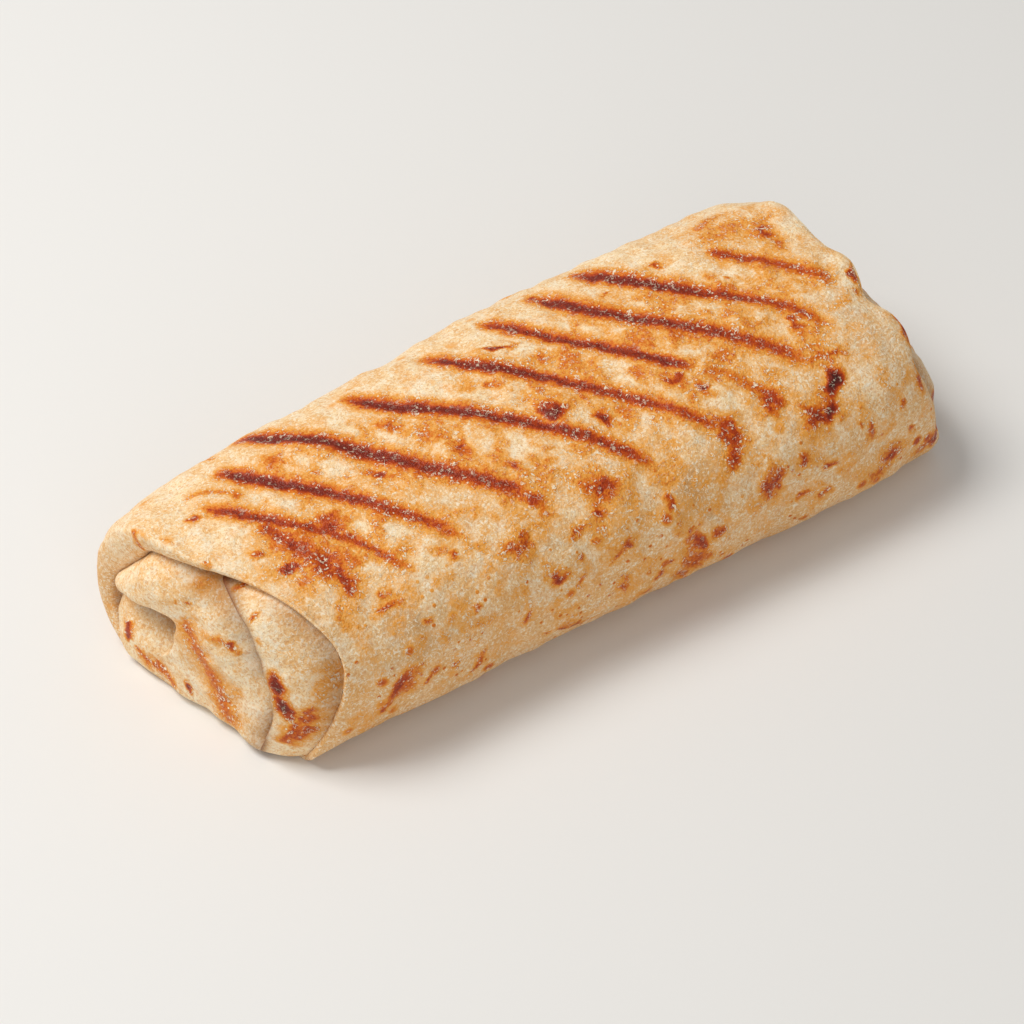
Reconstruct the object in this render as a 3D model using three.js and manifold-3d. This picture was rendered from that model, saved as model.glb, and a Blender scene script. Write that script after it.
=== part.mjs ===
// A grilled tortilla wrap, rolled, closed at both ends and pressed flat on a grill.
// Millimetres, +Z up. It lies along X: the end at -X shows how the ends are tucked in,
// the end at +X is closed the same way, and z = 0 is the patch it rests on.
import * as THREE from 'three';
import { mergeVertices } from 'three/addons/utils/BufferGeometryUtils.js';
import Module from 'manifold-3d';

const wasm = await Module();
wasm.setup();

// Driving dimensions of the roll
const HEIGHT = 42.9;            // top of the roll at mid length
const HEIGHT_RISE = 1.3;        // it grows by this over 100 mm towards +X
const AXIS_Y = -3;              // centre line of the cross-section
const AXIS_Z = 20;
const BELOW_HALF = 22.5;        // half height below the centre line, cut off flat at z = 0
// Half widths from the centre line, [x, half width]
const FRONT_HALF = [[-60, 40.5], [-20, 40.5], [30, 41.4], [60, 41.8], [90, 41]];
const BACK_HALF = [[-60, 29.2], [-20, 34], [20, 36.5], [60, 37], [90, 36.5]];
const FRONT_TOP_POWER = 2.2;    // roundness of the four quarters of the cross-section
const BACK_TOP_POWER = 3;
const BELOW_POWER = 3.8;
const NEAR_SHOULDER_X = -58;    // beyond these the roll draws in to its open rims
const FAR_SHOULDER_X = 66;
const NEAR_SHOULDER_POWER = 1.65;
const FAR_SHOULDER_POWER = 2.2;
const CENTRE_X = 1.09;          // middle of the finished wrap, moved to the origin at the end
const CENTRE_Y = -5.33;
const SOFT_BUMP = 0.45;         // height of the soft bumps of the filled roll

// Rim of the outer layer at each end: [angle in degrees from +Y towards +Z, radius, x, lip]
const NEAR_RIM = [
  [-81.5, 20.0, -91.2, 2.5], [-51, 24.3, -93.4, 3], [-31, 25.6, -93.9, 3.8], [-5, 24.4, -93.9, 5.2],
  [23, 23.3, -93.1, 7.8], [47, 23.2, -91.9, 7.8], [69, 22.8, -90.0, 5.6], [92.5, 22.4, -86.9, 4.4],
  [112, 23.6, -82.9, 3.6], [130, 27.1, -77.2, 3], [148, 33.8, -71.8, 2.2], [164, 38.0, -68.0, 1.8],
  [181, 39.6, -69.6, 1.8], [197, 40.4, -74.2, 1.8], [203, 40.8, -76.6, 1.8], [209, 40.0, -76.6, 1.8],
  [225, 28.4, -81.6, 2], [247.5, 21.5, -87.4, 2],
];
const FAR_RIM = [
  [-81.5, 20.0, 93.5, 2.4], [-50, 24.5, 93, 2.8], [-25, 30, 91.5, 3.2], [0, 32, 89, 3.2],
  [27, 31.5, 86.5, 3], [45, 29.5, 86, 2.8], [65, 24.8, 85.6, 2.4], [88, 22.6, 85.2, 2.2],
  [108, 22.9, 86.8, 2], [118, 23.8, 85.8, 2], [131, 26.6, 83.8, 2], [142, 28.7, 86.8, 2],
  [152, 32.2, 87, 2], [162, 34.9, 85.8, 2], [171, 36.6, 87.2, 2], [181, 37.6, 89], [192, 37.6, 90.8],
  [203, 38.3, 93.6], [214, 34.2, 94.2], [230, 26.3, 94.2], [250, 21.4, 94],
].map(([angle, radius, x, lip = 2]) => [angle, radius, x, lip]);
const LIP_REACH = 2.2;          // how far the thickest lip would stand out of its rim
const LIP_HALF = 2.6;           // thickness at which it stands out by half of that
const LIP_SLOPE = 0.3;          // a lip's inner end lies deeper by this share of its thickness

// Tucked-in ends: a domed face inside each rim
const NEAR_FACE_X = -92.4;      // x of the near face on the plane y = 0
const NEAR_FACE_SLANT = -0.265; // its change in x per millimetre of y
const FAR_FACE_X = 95.2;        // lower part of the far face
const FAR_FACE_LEAN = 0.45;     // it leans back by this per millimetre above FAR_LEAN_Z
const FAR_LEAN_Z = 20;
const DOME_POWER = 3;
const DOME_ROUND = 2.2;
const RIM_TUCK = 1.2;           // the face meets the lip's inner end this much further in
const FLAT_BELOW_Z = 18;        // under this height the face stays upright
const MOUTH_LIMIT = 1.02;       // folds end this share of the inner rim from the centre
const FLOOR_DEPTH = 3;          // solid roll behind the folds
const POCKET_DEPTH = 9;         // deepest place of the open pocket
const POCKET_Y = 1;             // middle of the hollow in the roll behind it
const POCKET_Z = 19;
const POCKET_SPREAD = 9;        // how wide that hollow is
const FOLD_DEPTH = 12;          // how far a fold runs in behind its face
const FOLD_BACK_SHARE = 0.82;   // its back is this share as far from the centre line

// Outlines of the folds in the cross-section, [y, z]: four sides each, corners shared
const UPPER_FOLD = {
  left: [[13.8, 21], [10.5, 19.5], [6.8, 20.6], [2.6, 21.5], [-1.8, 22.6], [-5, 23], [-6.3, 21.6],
    [-4.8, 17], [-3.8, 12.7], [-1.3, 9.3], [0, 4.6], [0, 0.6]],
  top: [[13.8, 21], [15.4, 25], [9.5, 34.5], [-0.4, 41], [-10, 43.5], [-22.4, 42]],
  right: [[-22.4, 42], [-30.1, 33], [-33.5, 20], [-36, 0.7]],
  bottom: [[0, 0.6], [-11.9, 0.6], [-23.3, 0.6], [-36, 0.7]],
};
const SIDE_FOLD = {
  left: [[-8.5, 40], [-12, 38.8], [-15.5, 37.8], [-19.9, 36.4], [-23.5, 34.6], [-25.3, 32.8],
    [-27.5, 28.7], [-29.7, 24.1], [-31.1, 20.8], [-32.2, 17], [-32.8, 11], [-31.6, 5.2], [-30.6, 0.6]],
  top: [[-8.5, 40], [-15.1, 43], [-26.2, 43]],
  right: [[-26.2, 43], [-35.5, 38], [-42.5, 26], [-43, 14], [-39.5, 3.5]],
  bottom: [[-30.6, 0.6], [-36, 0.8], [-39.5, 3.5]],
};
const LOWER_FOLD = {
  left: [[17, 23.5], [18, 14], [13.5, 6], [6, 0.6]],
  top: [[17, 23.5], [5.6, 23.5], [-8.9, 26]],
  right: [[-8.9, 26], [-7, 12], [-5, 0.6]],
  bottom: [[6, 0.6], [-0.3, 0.6], [-5, 0.6]],
};
const FAR_BASE_FOLD = {
  left: [[26, 30], [29.5, 18], [25, 1]],
  top: [[26, 30], [12, 43], [-12, 43], [-27, 35]],
  right: [[-27, 35], [-38, 18], [-35, 1]],
  bottom: [[25, 1], [0, 0.8], [-35, 1]],
};
const FAR_SIDE_FOLD = {
  left: [[4, 42], [-1, 36], [-3, 28], [-8, 20], [-10, 10], [-16, 1]],
  top: [[4, 42], [-10, 44], [-24, 38]],
  right: [[-24, 38], [-39, 20], [-36, 1]],
  bottom: [[-16, 1], [-26, 0.8], [-36, 1]],
};
const UPPER_EDGE_RADIUS = 3.4;  // its rounded edge over the pocket
const THIN_EDGE_RADIUS = 0.2;   // left of it where the edge lies flat on the lower fold
const EDGE_THINS_FROM = 0.86;   // from this share of its height down, over EDGE_THINS_OVER
const EDGE_THINS_OVER = 0.3;
const UPPER_ROLL = [[13, 22.5], [7, 26], [1, 28.5], [-6, 30.5], [-13, 31]]; // its thickest line
const UPPER_ROLL_RISE = 1.5;
const UPPER_ROLL_HALF = 5;
const UPPER_ROLL_FADE = 0.4;    // last share of that line, along which the rise fades
const SIDE_EDGE_RADIUS = 1.3;
const BOTTOM_EDGE_RADIUS = 3;
const SIDE_FOLD_RISE = 2;       // the side fold lies on top of the upper one
const SIDE_RISE_OVER = 8;       // and reaches that height over this, above the tip
const LOWER_GAP = 0.3;          // the lower fold lies under it
const LOWER_STEP = 0.15;        // share of its width over which the lower fold first drops
const LOWER_FLAT = 0.7;         // share of its height below which it is flush
const LOW_BULGE = 0.55;         // the folds sag outwards below LOW_BULGE_TOP
const LOW_BULGE_TOP = 20;
const TIP_BULGE = 3.4;          // and rest on a soft round tip, around TIP_Y and TIP_Z
const TIP_Y = -32;
const TIP_Z = 3;
const TIP_WIDE = 8;
const TIP_HIGH = 9;

// How finely the surfaces are divided
const AROUND = 80;
const SLIVER = 0.03;            // thinner slivers left by the joins are closed up
const FOLD_COLUMNS = 14;
const FOLD_ROWS = 15;

const clamp = (value, low, high) => Math.min(high, Math.max(low, value));

// Smooth curve through [x, value] pairs; outside them it keeps the end value.
function smoothThrough(xs, values, x) {
  const last = xs.length - 1;
  const slope = (i) => {
    if (i === 0) return (values[1] - values[0]) / (xs[1] - xs[0]);
    if (i === last) return (values[last] - values[last - 1]) / (xs[last] - xs[last - 1]);
    const before = xs[i] - xs[i - 1];
    const after = xs[i + 1] - xs[i];
    return (before * before * values[i + 1] + (after * after - before * before) * values[i]
      - after * after * values[i - 1]) / (before * after * (before + after));
  };
  const place = clamp(x, xs[0], xs[last]);
  let i = 0;
  while (i < last - 1 && xs[i + 1] <= place) i += 1;
  const h = xs[i + 1] - xs[i];
  const t = (place - xs[i]) / h;
  return values[i] * (2 * t ** 3 - 3 * t ** 2 + 1) + slope(i) * h * (t ** 3 - 2 * t ** 2 + t)
    + values[i + 1] * (3 * t ** 2 - 2 * t ** 3) + slope(i + 1) * h * (t ** 3 - t ** 2);
}

// The same around a full turn of 360 degrees.
function smoothAround(rows, column, degrees) {
  const wrapped = [
    ...rows.slice(-2).map((row) => [row[0] - 360, row[column]]),
    ...rows.map((row) => [row[0], row[column]]),
    ...rows.slice(0, 2).map((row) => [row[0] + 360, row[column]]),
  ];
  const start = rows[0][0];
  const turned = ((degrees - start) % 360 + 360) % 360 + start;
  return smoothThrough(wrapped.map((row) => row[0]), wrapped.map((row) => row[1]), turned);
}

const rimAt = (rim, angle) => {
  const degrees = angle * 180 / Math.PI;
  return {
    radius: smoothAround(rim, 1, degrees),
    x: smoothAround(rim, 2, degrees),
    lip: smoothAround(rim, 3, degrees),
  };
};

// Radius of the full roll at x, in the direction of the angle.
function rollRadius(x, angle) {
  const across = Math.cos(angle);
  const up = Math.sin(angle);
  const side = across > 0 ? BACK_HALF : FRONT_HALF;
  const half = smoothThrough(side.map((row) => row[0]), side.map((row) => row[1]), x);
  const height = up > 0 ? HEIGHT + HEIGHT_RISE * x / 100 - AXIS_Z : BELOW_HALF;
  const topPower = across > 0 ? BACK_TOP_POWER : FRONT_TOP_POWER;
  const power = up > 0 ? topPower : BELOW_POWER;
  return (Math.abs(across / half) ** power + Math.abs(up / height) ** power) ** (-1 / power);
}

// Soft bumps of the filling under the bread, none where the wrap rests.
function bump(x, angle) {
  const up = Math.max(0, Math.sin(angle) + 0.35);
  const wave = Math.sin(x * 0.11 + 1.7 * angle) + Math.sin(x * 0.067 - 2.3 * angle + 1);
  return SOFT_BUMP * Math.min(1, up) * wave * 0.5;
}

const crossPoint = (x, radius, angle) => [
  x,
  AXIS_Y + radius * Math.cos(angle),
  Math.max(0, AXIS_Z + radius * Math.sin(angle)),
];

// Outer skin. stage runs -1..0 over the near shoulder, 0..1 along the roll, 1..2 over the far one.
function skinPoint(stage, angle) {
  const near = rimAt(NEAR_RIM, angle);
  const far = rimAt(FAR_RIM, angle);
  let x = NEAR_SHOULDER_X + (FAR_SHOULDER_X - NEAR_SHOULDER_X) * stage;
  if (stage < 0) x = NEAR_SHOULDER_X - (near.x - NEAR_SHOULDER_X) * stage;
  if (stage > 1) x = FAR_SHOULDER_X + (far.x - FAR_SHOULDER_X) * (stage - 1);
  const full = rollRadius(x, angle);
  let radius = full;
  if (stage < 0) {
    const kept = (1 - clamp(-stage, 0, 1) ** NEAR_SHOULDER_POWER) ** (1 / NEAR_SHOULDER_POWER);
    radius = near.radius + (full - near.radius) * kept;
  }
  if (stage > 1) {
    const kept = (1 - clamp(stage - 1, 0, 1) ** FAR_SHOULDER_POWER) ** (1 / FAR_SHOULDER_POWER);
    radius = far.radius + (full - far.radius) * kept;
  }
  const fade = Math.min(1, 1 - Math.max(-stage, stage - 1, 0));
  return crossPoint(x, radius + fade * bump(x, angle), angle);
}

// Rounded lip of a rim; turn runs 0..pi from the outside over the rim to its inner side.
function lipPoint(rim, side, turn, angle) {
  const { radius, x, lip } = rimAt(rim, angle);
  const across = lip * (1 - Math.cos(turn)) / 2;
  const out = LIP_REACH * lip / (lip + LIP_HALF) * Math.sin(turn);
  return crossPoint(x + side * (out - LIP_SLOPE * across), radius - across, angle);
}

// x of the domed end face over a place [y, z] of the cross-section.
function nearFaceX(y, z) {
  const level = Math.max(z, FLAT_BELOW_Z);
  const angle = Math.atan2(level - AXIS_Z, y - AXIS_Y);
  const { radius, x, lip } = rimAt(NEAR_RIM, angle);
  const share = clamp(Math.hypot(level - AXIS_Z, y - AXIS_Y) / (radius - lip), 0, 1);
  const edge = x + RIM_TUCK + LIP_SLOPE * lip;
  const plane = NEAR_FACE_X + NEAR_FACE_SLANT * y;
  return edge + (plane - edge) * (1 - share ** DOME_POWER) ** (1 / DOME_ROUND);
}

function farFaceX(y, z) {
  const angle = Math.atan2(z - AXIS_Z, y - AXIS_Y);
  const { radius, x, lip } = rimAt(FAR_RIM, angle);
  const share = clamp(Math.hypot(z - AXIS_Z, y - AXIS_Y) / (radius - lip), 0, 1);
  const edge = x - RIM_TUCK - LIP_SLOPE * lip;
  const plane = FAR_FACE_X - FAR_FACE_LEAN * Math.max(0, z - FAR_LEAN_Z);
  return edge + (plane - edge) * (1 - share ** DOME_POWER) ** (1 / DOME_ROUND);
}

// Pull a place of the cross-section inside the mouth of the near or the far rim.
function insideMouth(rim, [y, z], flatBelow) {
  const level = Math.max(z, flatBelow);
  const angle = Math.atan2(level - AXIS_Z, y - AXIS_Y);
  const { radius, lip } = rimAt(rim, angle);
  const pull = Math.min(1, MOUTH_LIMIT * (radius - lip) / Math.hypot(level - AXIS_Z, y - AXIS_Y));
  return [AXIS_Y + (y - AXIS_Y) * pull, z > flatBelow ? AXIS_Z + (z - AXIS_Z) * pull : z];
}

function solidFrom(positions, faces) {
  const geometry = new THREE.BufferGeometry();
  geometry.setAttribute('position', new THREE.Float32BufferAttribute(positions, 3));
  geometry.setIndex(faces);
  const merged = mergeVertices(geometry, 1e-4);
  const keep = [];
  const index = merged.index.array;
  for (let i = 0; i < index.length; i += 3) {
    const [a, b, c] = [index[i], index[i + 1], index[i + 2]];
    if (a !== b && b !== c && c !== a) keep.push(a, b, c);
  }
  return new wasm.Manifold(new wasm.Mesh({
    numProp: 3,
    vertProperties: Float32Array.from(merged.attributes.position.array),
    triVerts: Uint32Array.from(keep),
  }));
}

// How far the solid roll behind the near folds draws back for the pocket.
const hollow = (y, z) => POCKET_DEPTH
  * Math.exp(-((y - POCKET_Y) ** 2 + (z - POCKET_Z) ** 2) / (2 * POCKET_SPREAD ** 2));

// Outer layer with the solid roll inside it, from the near floor to the far floor.
function makeRoll() {
  const angles = Array.from({ length: AROUND }, (_, i) => i / AROUND * 2 * Math.PI);
  const rings = [];
  const ring = (place) => rings.push(angles.map(place));
  const floorRing = (rim, face, inward, share) => ring((angle) => {
    const { radius, lip } = rimAt(rim, angle);
    const y = AXIS_Y + (radius - lip) * share * Math.cos(angle);
    const z = Math.max(0.8, AXIS_Z + (radius - lip) * share * Math.sin(angle));
    return [face(y, z) + inward * (FLOOR_DEPTH + (inward > 0 ? hollow(y, z) : 0)), y, z];
  });
  for (const share of [0.25, 0.5, 0.75, 0.99]) floorRing(NEAR_RIM, nearFaceX, 1, share);
  for (const turn of [1, 0.7, 0.45, 0.2]) ring((angle) => lipPoint(NEAR_RIM, -1, turn * Math.PI, angle));
  for (const stage of [-1, -0.95, -0.88, -0.8, -0.7, -0.58, -0.44, -0.28, -0.13]) {
    ring((angle) => skinPoint(stage, angle));
  }
  for (let i = 0; i <= 10; i += 1) ring((angle) => skinPoint(i / 10, angle));
  for (const stage of [1.25, 1.5, 1.7, 1.84, 1.93, 1.98, 2]) ring((angle) => skinPoint(stage, angle));
  for (const turn of [0.25, 0.5, 0.75, 1]) ring((angle) => lipPoint(FAR_RIM, 1, turn * Math.PI, angle));
  for (const share of [0.99, 0.6, 0.3]) floorRing(FAR_RIM, farFaceX, -1, share);
  const positions = rings.flat(2);
  const faces = [];
  for (let row = 0; row < rings.length - 1; row += 1) {
    for (let i = 0; i < AROUND; i += 1) {
      const a = row * AROUND + i;
      const b = row * AROUND + (i + 1) % AROUND;
      faces.push(a, b, a + AROUND, b, b + AROUND, a + AROUND);
    }
  }
  const last = (rings.length - 1) * AROUND;
  const nearHub = positions.length / 3;
  const nearDepth = FLOOR_DEPTH + hollow(AXIS_Y, AXIS_Z);
  positions.push(nearFaceX(AXIS_Y, AXIS_Z) + nearDepth, AXIS_Y, AXIS_Z);
  positions.push(farFaceX(AXIS_Y, AXIS_Z) - FLOOR_DEPTH, AXIS_Y, AXIS_Z);
  for (let i = 0; i < AROUND; i += 1) {
    const next = (i + 1) % AROUND;
    faces.push(nearHub, next, i, nearHub + 1, last + i, last + next);
  }
  return solidFrom(positions, faces);
}

// Point [y, z] along a side of a fold, share 0..1 of its length.
function alongSide(side, share) {
  const lengths = [0];
  for (let i = 1; i < side.length; i += 1) {
    lengths.push(lengths[i - 1] + Math.hypot(side[i][0] - side[i - 1][0], side[i][1] - side[i - 1][1]));
  }
  const place = share * lengths[lengths.length - 1];
  return [0, 1].map((axis) => smoothThrough(lengths, side.map((point) => point[axis]), place));
}

// Place [y, z] inside the four sides of a fold; p runs left to right, q top to bottom.
function insideFold({ left, top, right, bottom }, p, q) {
  const sides = [alongSide(top, p), alongSide(bottom, p), alongSide(left, q), alongSide(right, q)];
  const corners = [top[0], top[top.length - 1], bottom[0], bottom[bottom.length - 1]];
  return [0, 1].map((axis) => {
    const [t, b, l, r] = sides.map((point) => point[axis]);
    const [tl, tr, bl, br] = corners.map((point) => point[axis]);
    return (1 - q) * t + q * b + (1 - p) * l + p * r
      - ((1 - p) * (1 - q) * tl + p * (1 - q) * tr + (1 - p) * q * bl + p * q * br);
  });
}

// Drop of a rounded edge at a distance from it.
function edgeDrop(distance, radius) {
  const rest = clamp(1 - distance / radius, 0, 1);
  return radius * (1 - Math.sqrt(1 - rest * rest));
}

// Shares of a fold's width and height, closer together at its left and bottom edges.
const spread = (count, firsts) => {
  const start = firsts[firsts.length - 1];
  const rest = Array.from({ length: count - firsts.length }, (_, i) => start + (1 - start) * (i + 1)
    / (count - firsts.length));
  return [...firsts, ...rest];
};
const columns = spread(FOLD_COLUMNS, [0, 0.012, 0.035, 0.07]);
const rows = spread(FOLD_ROWS, [0, 0.015, 0.04, 0.075]).map((share) => 1 - share).reverse();

// A fold is a thick piece: its face follows faceX, its back lies FOLD_DEPTH further in.
function makeFold(outline, rim, flatBelow, inward, faceX) {
  const grid = columns.map((p) => rows.map((q) => insideMouth(rim, insideFold(outline, p, q), flatBelow)));
  const gap = (a, b) => Math.hypot(a[0] - b[0], a[1] - b[1]);
  const fromLeft = grid.map(() => []);
  const fromBottom = grid.map(() => []);
  grid.forEach((line, i) => {
    for (let j = rows.length - 1; j >= 0; j -= 1) {
      fromLeft[i][j] = i === 0 ? 0 : fromLeft[i - 1][j] + gap(line[j], grid[i - 1][j]);
      fromBottom[i][j] = j === rows.length - 1 ? 0 : fromBottom[i][j + 1] + gap(line[j], line[j + 1]);
    }
  });
  const positions = [];
  for (const depth of [0, FOLD_DEPTH]) {
    grid.forEach((line, i) => line.forEach(([y, z], j) => {
      const share = depth ? FOLD_BACK_SHARE : 1;
      const edges = depth ? [Infinity, Infinity] : [fromLeft[i][j], fromBottom[i][j]];
      const x = faceX(y, z, ...edges, columns[i], rows[j]) + inward * depth;
      positions.push(x, AXIS_Y + (y - AXIS_Y) * share, AXIS_Z + (z - AXIS_Z) * share);
    }));
  }
  const count = columns.length * rows.length;
  const at = (i, j, back) => back * count + i * rows.length + j;
  const faces = [];
  const quad = (a, b, c, d) => faces.push(a, b, c, a, c, d);
  for (let i = 0; i < columns.length - 1; i += 1) {
    for (let j = 0; j < rows.length - 1; j += 1) {
      quad(at(i, j, 0), at(i, j + 1, 0), at(i + 1, j + 1, 0), at(i + 1, j, 0));
      quad(at(i, j, 1), at(i + 1, j, 1), at(i + 1, j + 1, 1), at(i, j + 1, 1));
    }
  }
  const bottomRow = rows.length - 1;
  const lastColumn = columns.length - 1;
  for (let i = 0; i < lastColumn; i += 1) {
    quad(at(i, 0, 0), at(i + 1, 0, 0), at(i + 1, 0, 1), at(i, 0, 1));
    quad(at(i, bottomRow, 0), at(i, bottomRow, 1), at(i + 1, bottomRow, 1), at(i + 1, bottomRow, 0));
  }
  for (let j = 0; j < bottomRow; j += 1) {
    quad(at(0, j, 0), at(0, j, 1), at(0, j + 1, 1), at(0, j + 1, 0));
    quad(at(lastColumn, j, 0), at(lastColumn, j + 1, 0), at(lastColumn, j + 1, 1), at(lastColumn, j, 1));
  }
  if (inward < 0) {
    for (let i = 0; i < faces.length; i += 3) [faces[i], faces[i + 1]] = [faces[i + 1], faces[i]];
  }
  return solidFrom(positions, faces);
}

const softStep = (value) => {
  const t = clamp(value, 0, 1);
  return t * t * (3 - 2 * t);
};

// How far the folds hang out low down, most at the round tip that they rest on.
function sag(y, z) {
  const tip = Math.exp(-(((y - TIP_Y) / TIP_WIDE) ** 2) - ((z - TIP_Z) / TIP_HIGH) ** 2);
  return LOW_BULGE * clamp(1 - z / LOW_BULGE_TOP, 0, 1) + TIP_BULGE * tip;
}

// Rise of the upper fold along its thickest line, which runs out to the right.
function upperRoll(y, z) {
  let best = { gap: Infinity, along: 0 };
  for (let i = 0; i < UPPER_ROLL.length - 1; i += 1) {
    const [[ay, az], [by, bz]] = [UPPER_ROLL[i], UPPER_ROLL[i + 1]];
    const length = (by - ay) ** 2 + (bz - az) ** 2;
    const t = clamp(((y - ay) * (by - ay) + (z - az) * (bz - az)) / length, 0, 1);
    const gap = Math.hypot(y - ay - t * (by - ay), z - az - t * (bz - az));
    if (gap < best.gap) best = { gap, along: (i + t) / (UPPER_ROLL.length - 1) };
  }
  const bell = Math.exp(-((best.gap / UPPER_ROLL_HALF) ** 2));
  return UPPER_ROLL_RISE * bell * softStep((1 - best.along) / UPPER_ROLL_FADE);
}

// A thick rounded roll above the pocket, whose edge thins out below it.
function upperFaceX(y, z, left, bottom, p, q) {
  const thick = softStep((EDGE_THINS_FROM - q) / EDGE_THINS_OVER);
  const radius = THIN_EDGE_RADIUS + (UPPER_EDGE_RADIUS - THIN_EDGE_RADIUS) * thick;
  return nearFaceX(y, z) - sag(y, z) - upperRoll(y, z) + edgeDrop(left, radius)
    + edgeDrop(bottom, BOTTOM_EDGE_RADIUS);
}

// Lies on the upper fold, and runs into it at the lower tip.
function sideFaceX(y, z, left, bottom) {
  const risen = softStep((z - TIP_Z) / SIDE_RISE_OVER);
  const radius = THIN_EDGE_RADIUS + SIDE_EDGE_RADIUS * risen;
  return nearFaceX(y, z) - sag(y, z) - SIDE_FOLD_RISE * risen + edgeDrop(left, radius)
    + edgeDrop(bottom, BOTTOM_EDGE_RADIUS);
}

// Flush at its left and low edges, deepest in the corner under the upper fold: a tenth of the
// depth at the left edge, four tenths more over LOWER_STEP, the rest on the way to the right.
function lowerFaceX(y, z, left, bottom, p, q) {
  const across = 0.1 + 0.4 * softStep(p / LOWER_STEP) + 0.5 * softStep(p) ** 0.8;
  const slope = across * softStep(1 - q / LOWER_FLAT);
  return nearFaceX(y, z) - sag(y, z) + LOWER_GAP + POCKET_DEPTH * slope
    + edgeDrop(bottom, BOTTOM_EDGE_RADIUS);
}

const roll = makeRoll();
const upperFold = makeFold(UPPER_FOLD, NEAR_RIM, FLAT_BELOW_Z, 1, upperFaceX);
const sideFold = makeFold(SIDE_FOLD, NEAR_RIM, FLAT_BELOW_Z, 1, sideFaceX);
const lowerFold = makeFold(LOWER_FOLD, NEAR_RIM, FLAT_BELOW_Z, 1, lowerFaceX);
const farBase = makeFold(FAR_BASE_FOLD, FAR_RIM, 0, -1, (y, z, left, bottom) => farFaceX(y, z)
  - edgeDrop(bottom, BOTTOM_EDGE_RADIUS));
const farSide = makeFold(FAR_SIDE_FOLD, FAR_RIM, 0, -1, (y, z, left, bottom) => farFaceX(y, z)
  + SIDE_FOLD_RISE - edgeDrop(left, SIDE_EDGE_RADIUS) - edgeDrop(bottom, BOTTOM_EDGE_RADIUS));

const folds = [upperFold, sideFold, lowerFold, farBase, farSide];
const joined = folds.reduce((solid, fold) => solid.add(fold), roll).simplify(SLIVER);
const larger = (kept, piece) => (piece.volume() > kept.volume() ? piece : kept);
const mesh = joined.decompose().reduce(larger).getMesh();
const geometry = new THREE.BufferGeometry();
const vertices = Float32Array.from(mesh.vertProperties);
geometry.setAttribute('position', new THREE.Float32BufferAttribute(vertices, 3));
geometry.setIndex(Array.from(mesh.triVerts));
geometry.translate(-CENTRE_X, -CENTRE_Y, 0);

const tortilla = new THREE.MeshStandardMaterial({ color: 0xe3b277, roughness: 0.72, metalness: 0 });
const wrap = new THREE.Mesh(geometry, tortilla);
wrap.name = 'wrap';

const model = new THREE.Group();
model.add(wrap);

export default model;
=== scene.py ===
"""A grilled tortilla wrap, rolled, folded in at both ends and pressed on a ribbed grill."""

import bpy
import numpy as np
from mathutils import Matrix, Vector


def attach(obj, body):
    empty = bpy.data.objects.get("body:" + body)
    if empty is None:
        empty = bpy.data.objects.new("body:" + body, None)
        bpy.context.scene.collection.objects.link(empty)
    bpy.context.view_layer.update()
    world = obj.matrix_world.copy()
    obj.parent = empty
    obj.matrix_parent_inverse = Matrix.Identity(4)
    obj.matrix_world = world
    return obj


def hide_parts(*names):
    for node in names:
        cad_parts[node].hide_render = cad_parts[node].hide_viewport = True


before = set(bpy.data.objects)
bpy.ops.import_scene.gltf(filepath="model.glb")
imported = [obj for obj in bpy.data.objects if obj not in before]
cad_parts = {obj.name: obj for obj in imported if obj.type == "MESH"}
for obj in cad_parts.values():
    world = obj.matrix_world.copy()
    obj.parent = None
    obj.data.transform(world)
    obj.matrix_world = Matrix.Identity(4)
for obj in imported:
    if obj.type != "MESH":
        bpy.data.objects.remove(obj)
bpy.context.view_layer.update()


# --------------------------------------
# Outer layer: one large soft wheat flatbread, rolled round the filling into a flattened tube.
# It was baked on a hot plate, then pressed on a ribbed grill, which flattened its top a little
# and left slanting dark lines. Its near rim is turned in, its far rim is cut wavy.
# --------------------------------------
MM = 0.001
CENTRE_X = 1.09             # middle of the finished wrap, brought to the origin
CENTRE_Y = -5.33
HEIGHT = 42.9               # top of the roll at mid length, growing by HEIGHT_RISE over 100 mm
HEIGHT_RISE = 1.3
AXIS_Y = -3.0               # centre line of the cross-section
AXIS_Z = 20.0
# Half widths from the centre line by x, in front and behind, and the half height below it
FRONT_HALF = [(-60, 40.5), (-20, 40.5), (30, 41.4), (60, 41.8), (90, 41)]
BELOW_HALF = 22.5           # cut off flat at z = 0
BACK_HALF = [(-60, 29.2), (-20, 34), (20, 36.5), (60, 37), (90, 36.5)]
FRONT_TOP_POWER = 2.2       # how square each quarter of the section is: 2 is an ellipse
BACK_TOP_POWER = 3.0
BELOW_POWER = 3.8
NEAR_SHOULDER_X = -58.0     # the roll starts to draw in towards each rim here
FAR_SHOULDER_X = 66.0
NEAR_SHOULDER_POWER = 1.65
FAR_SHOULDER_POWER = 2.2
SOFT_BUMP = 0.45            # height of the soft bumps of the filling under the bread

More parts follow.
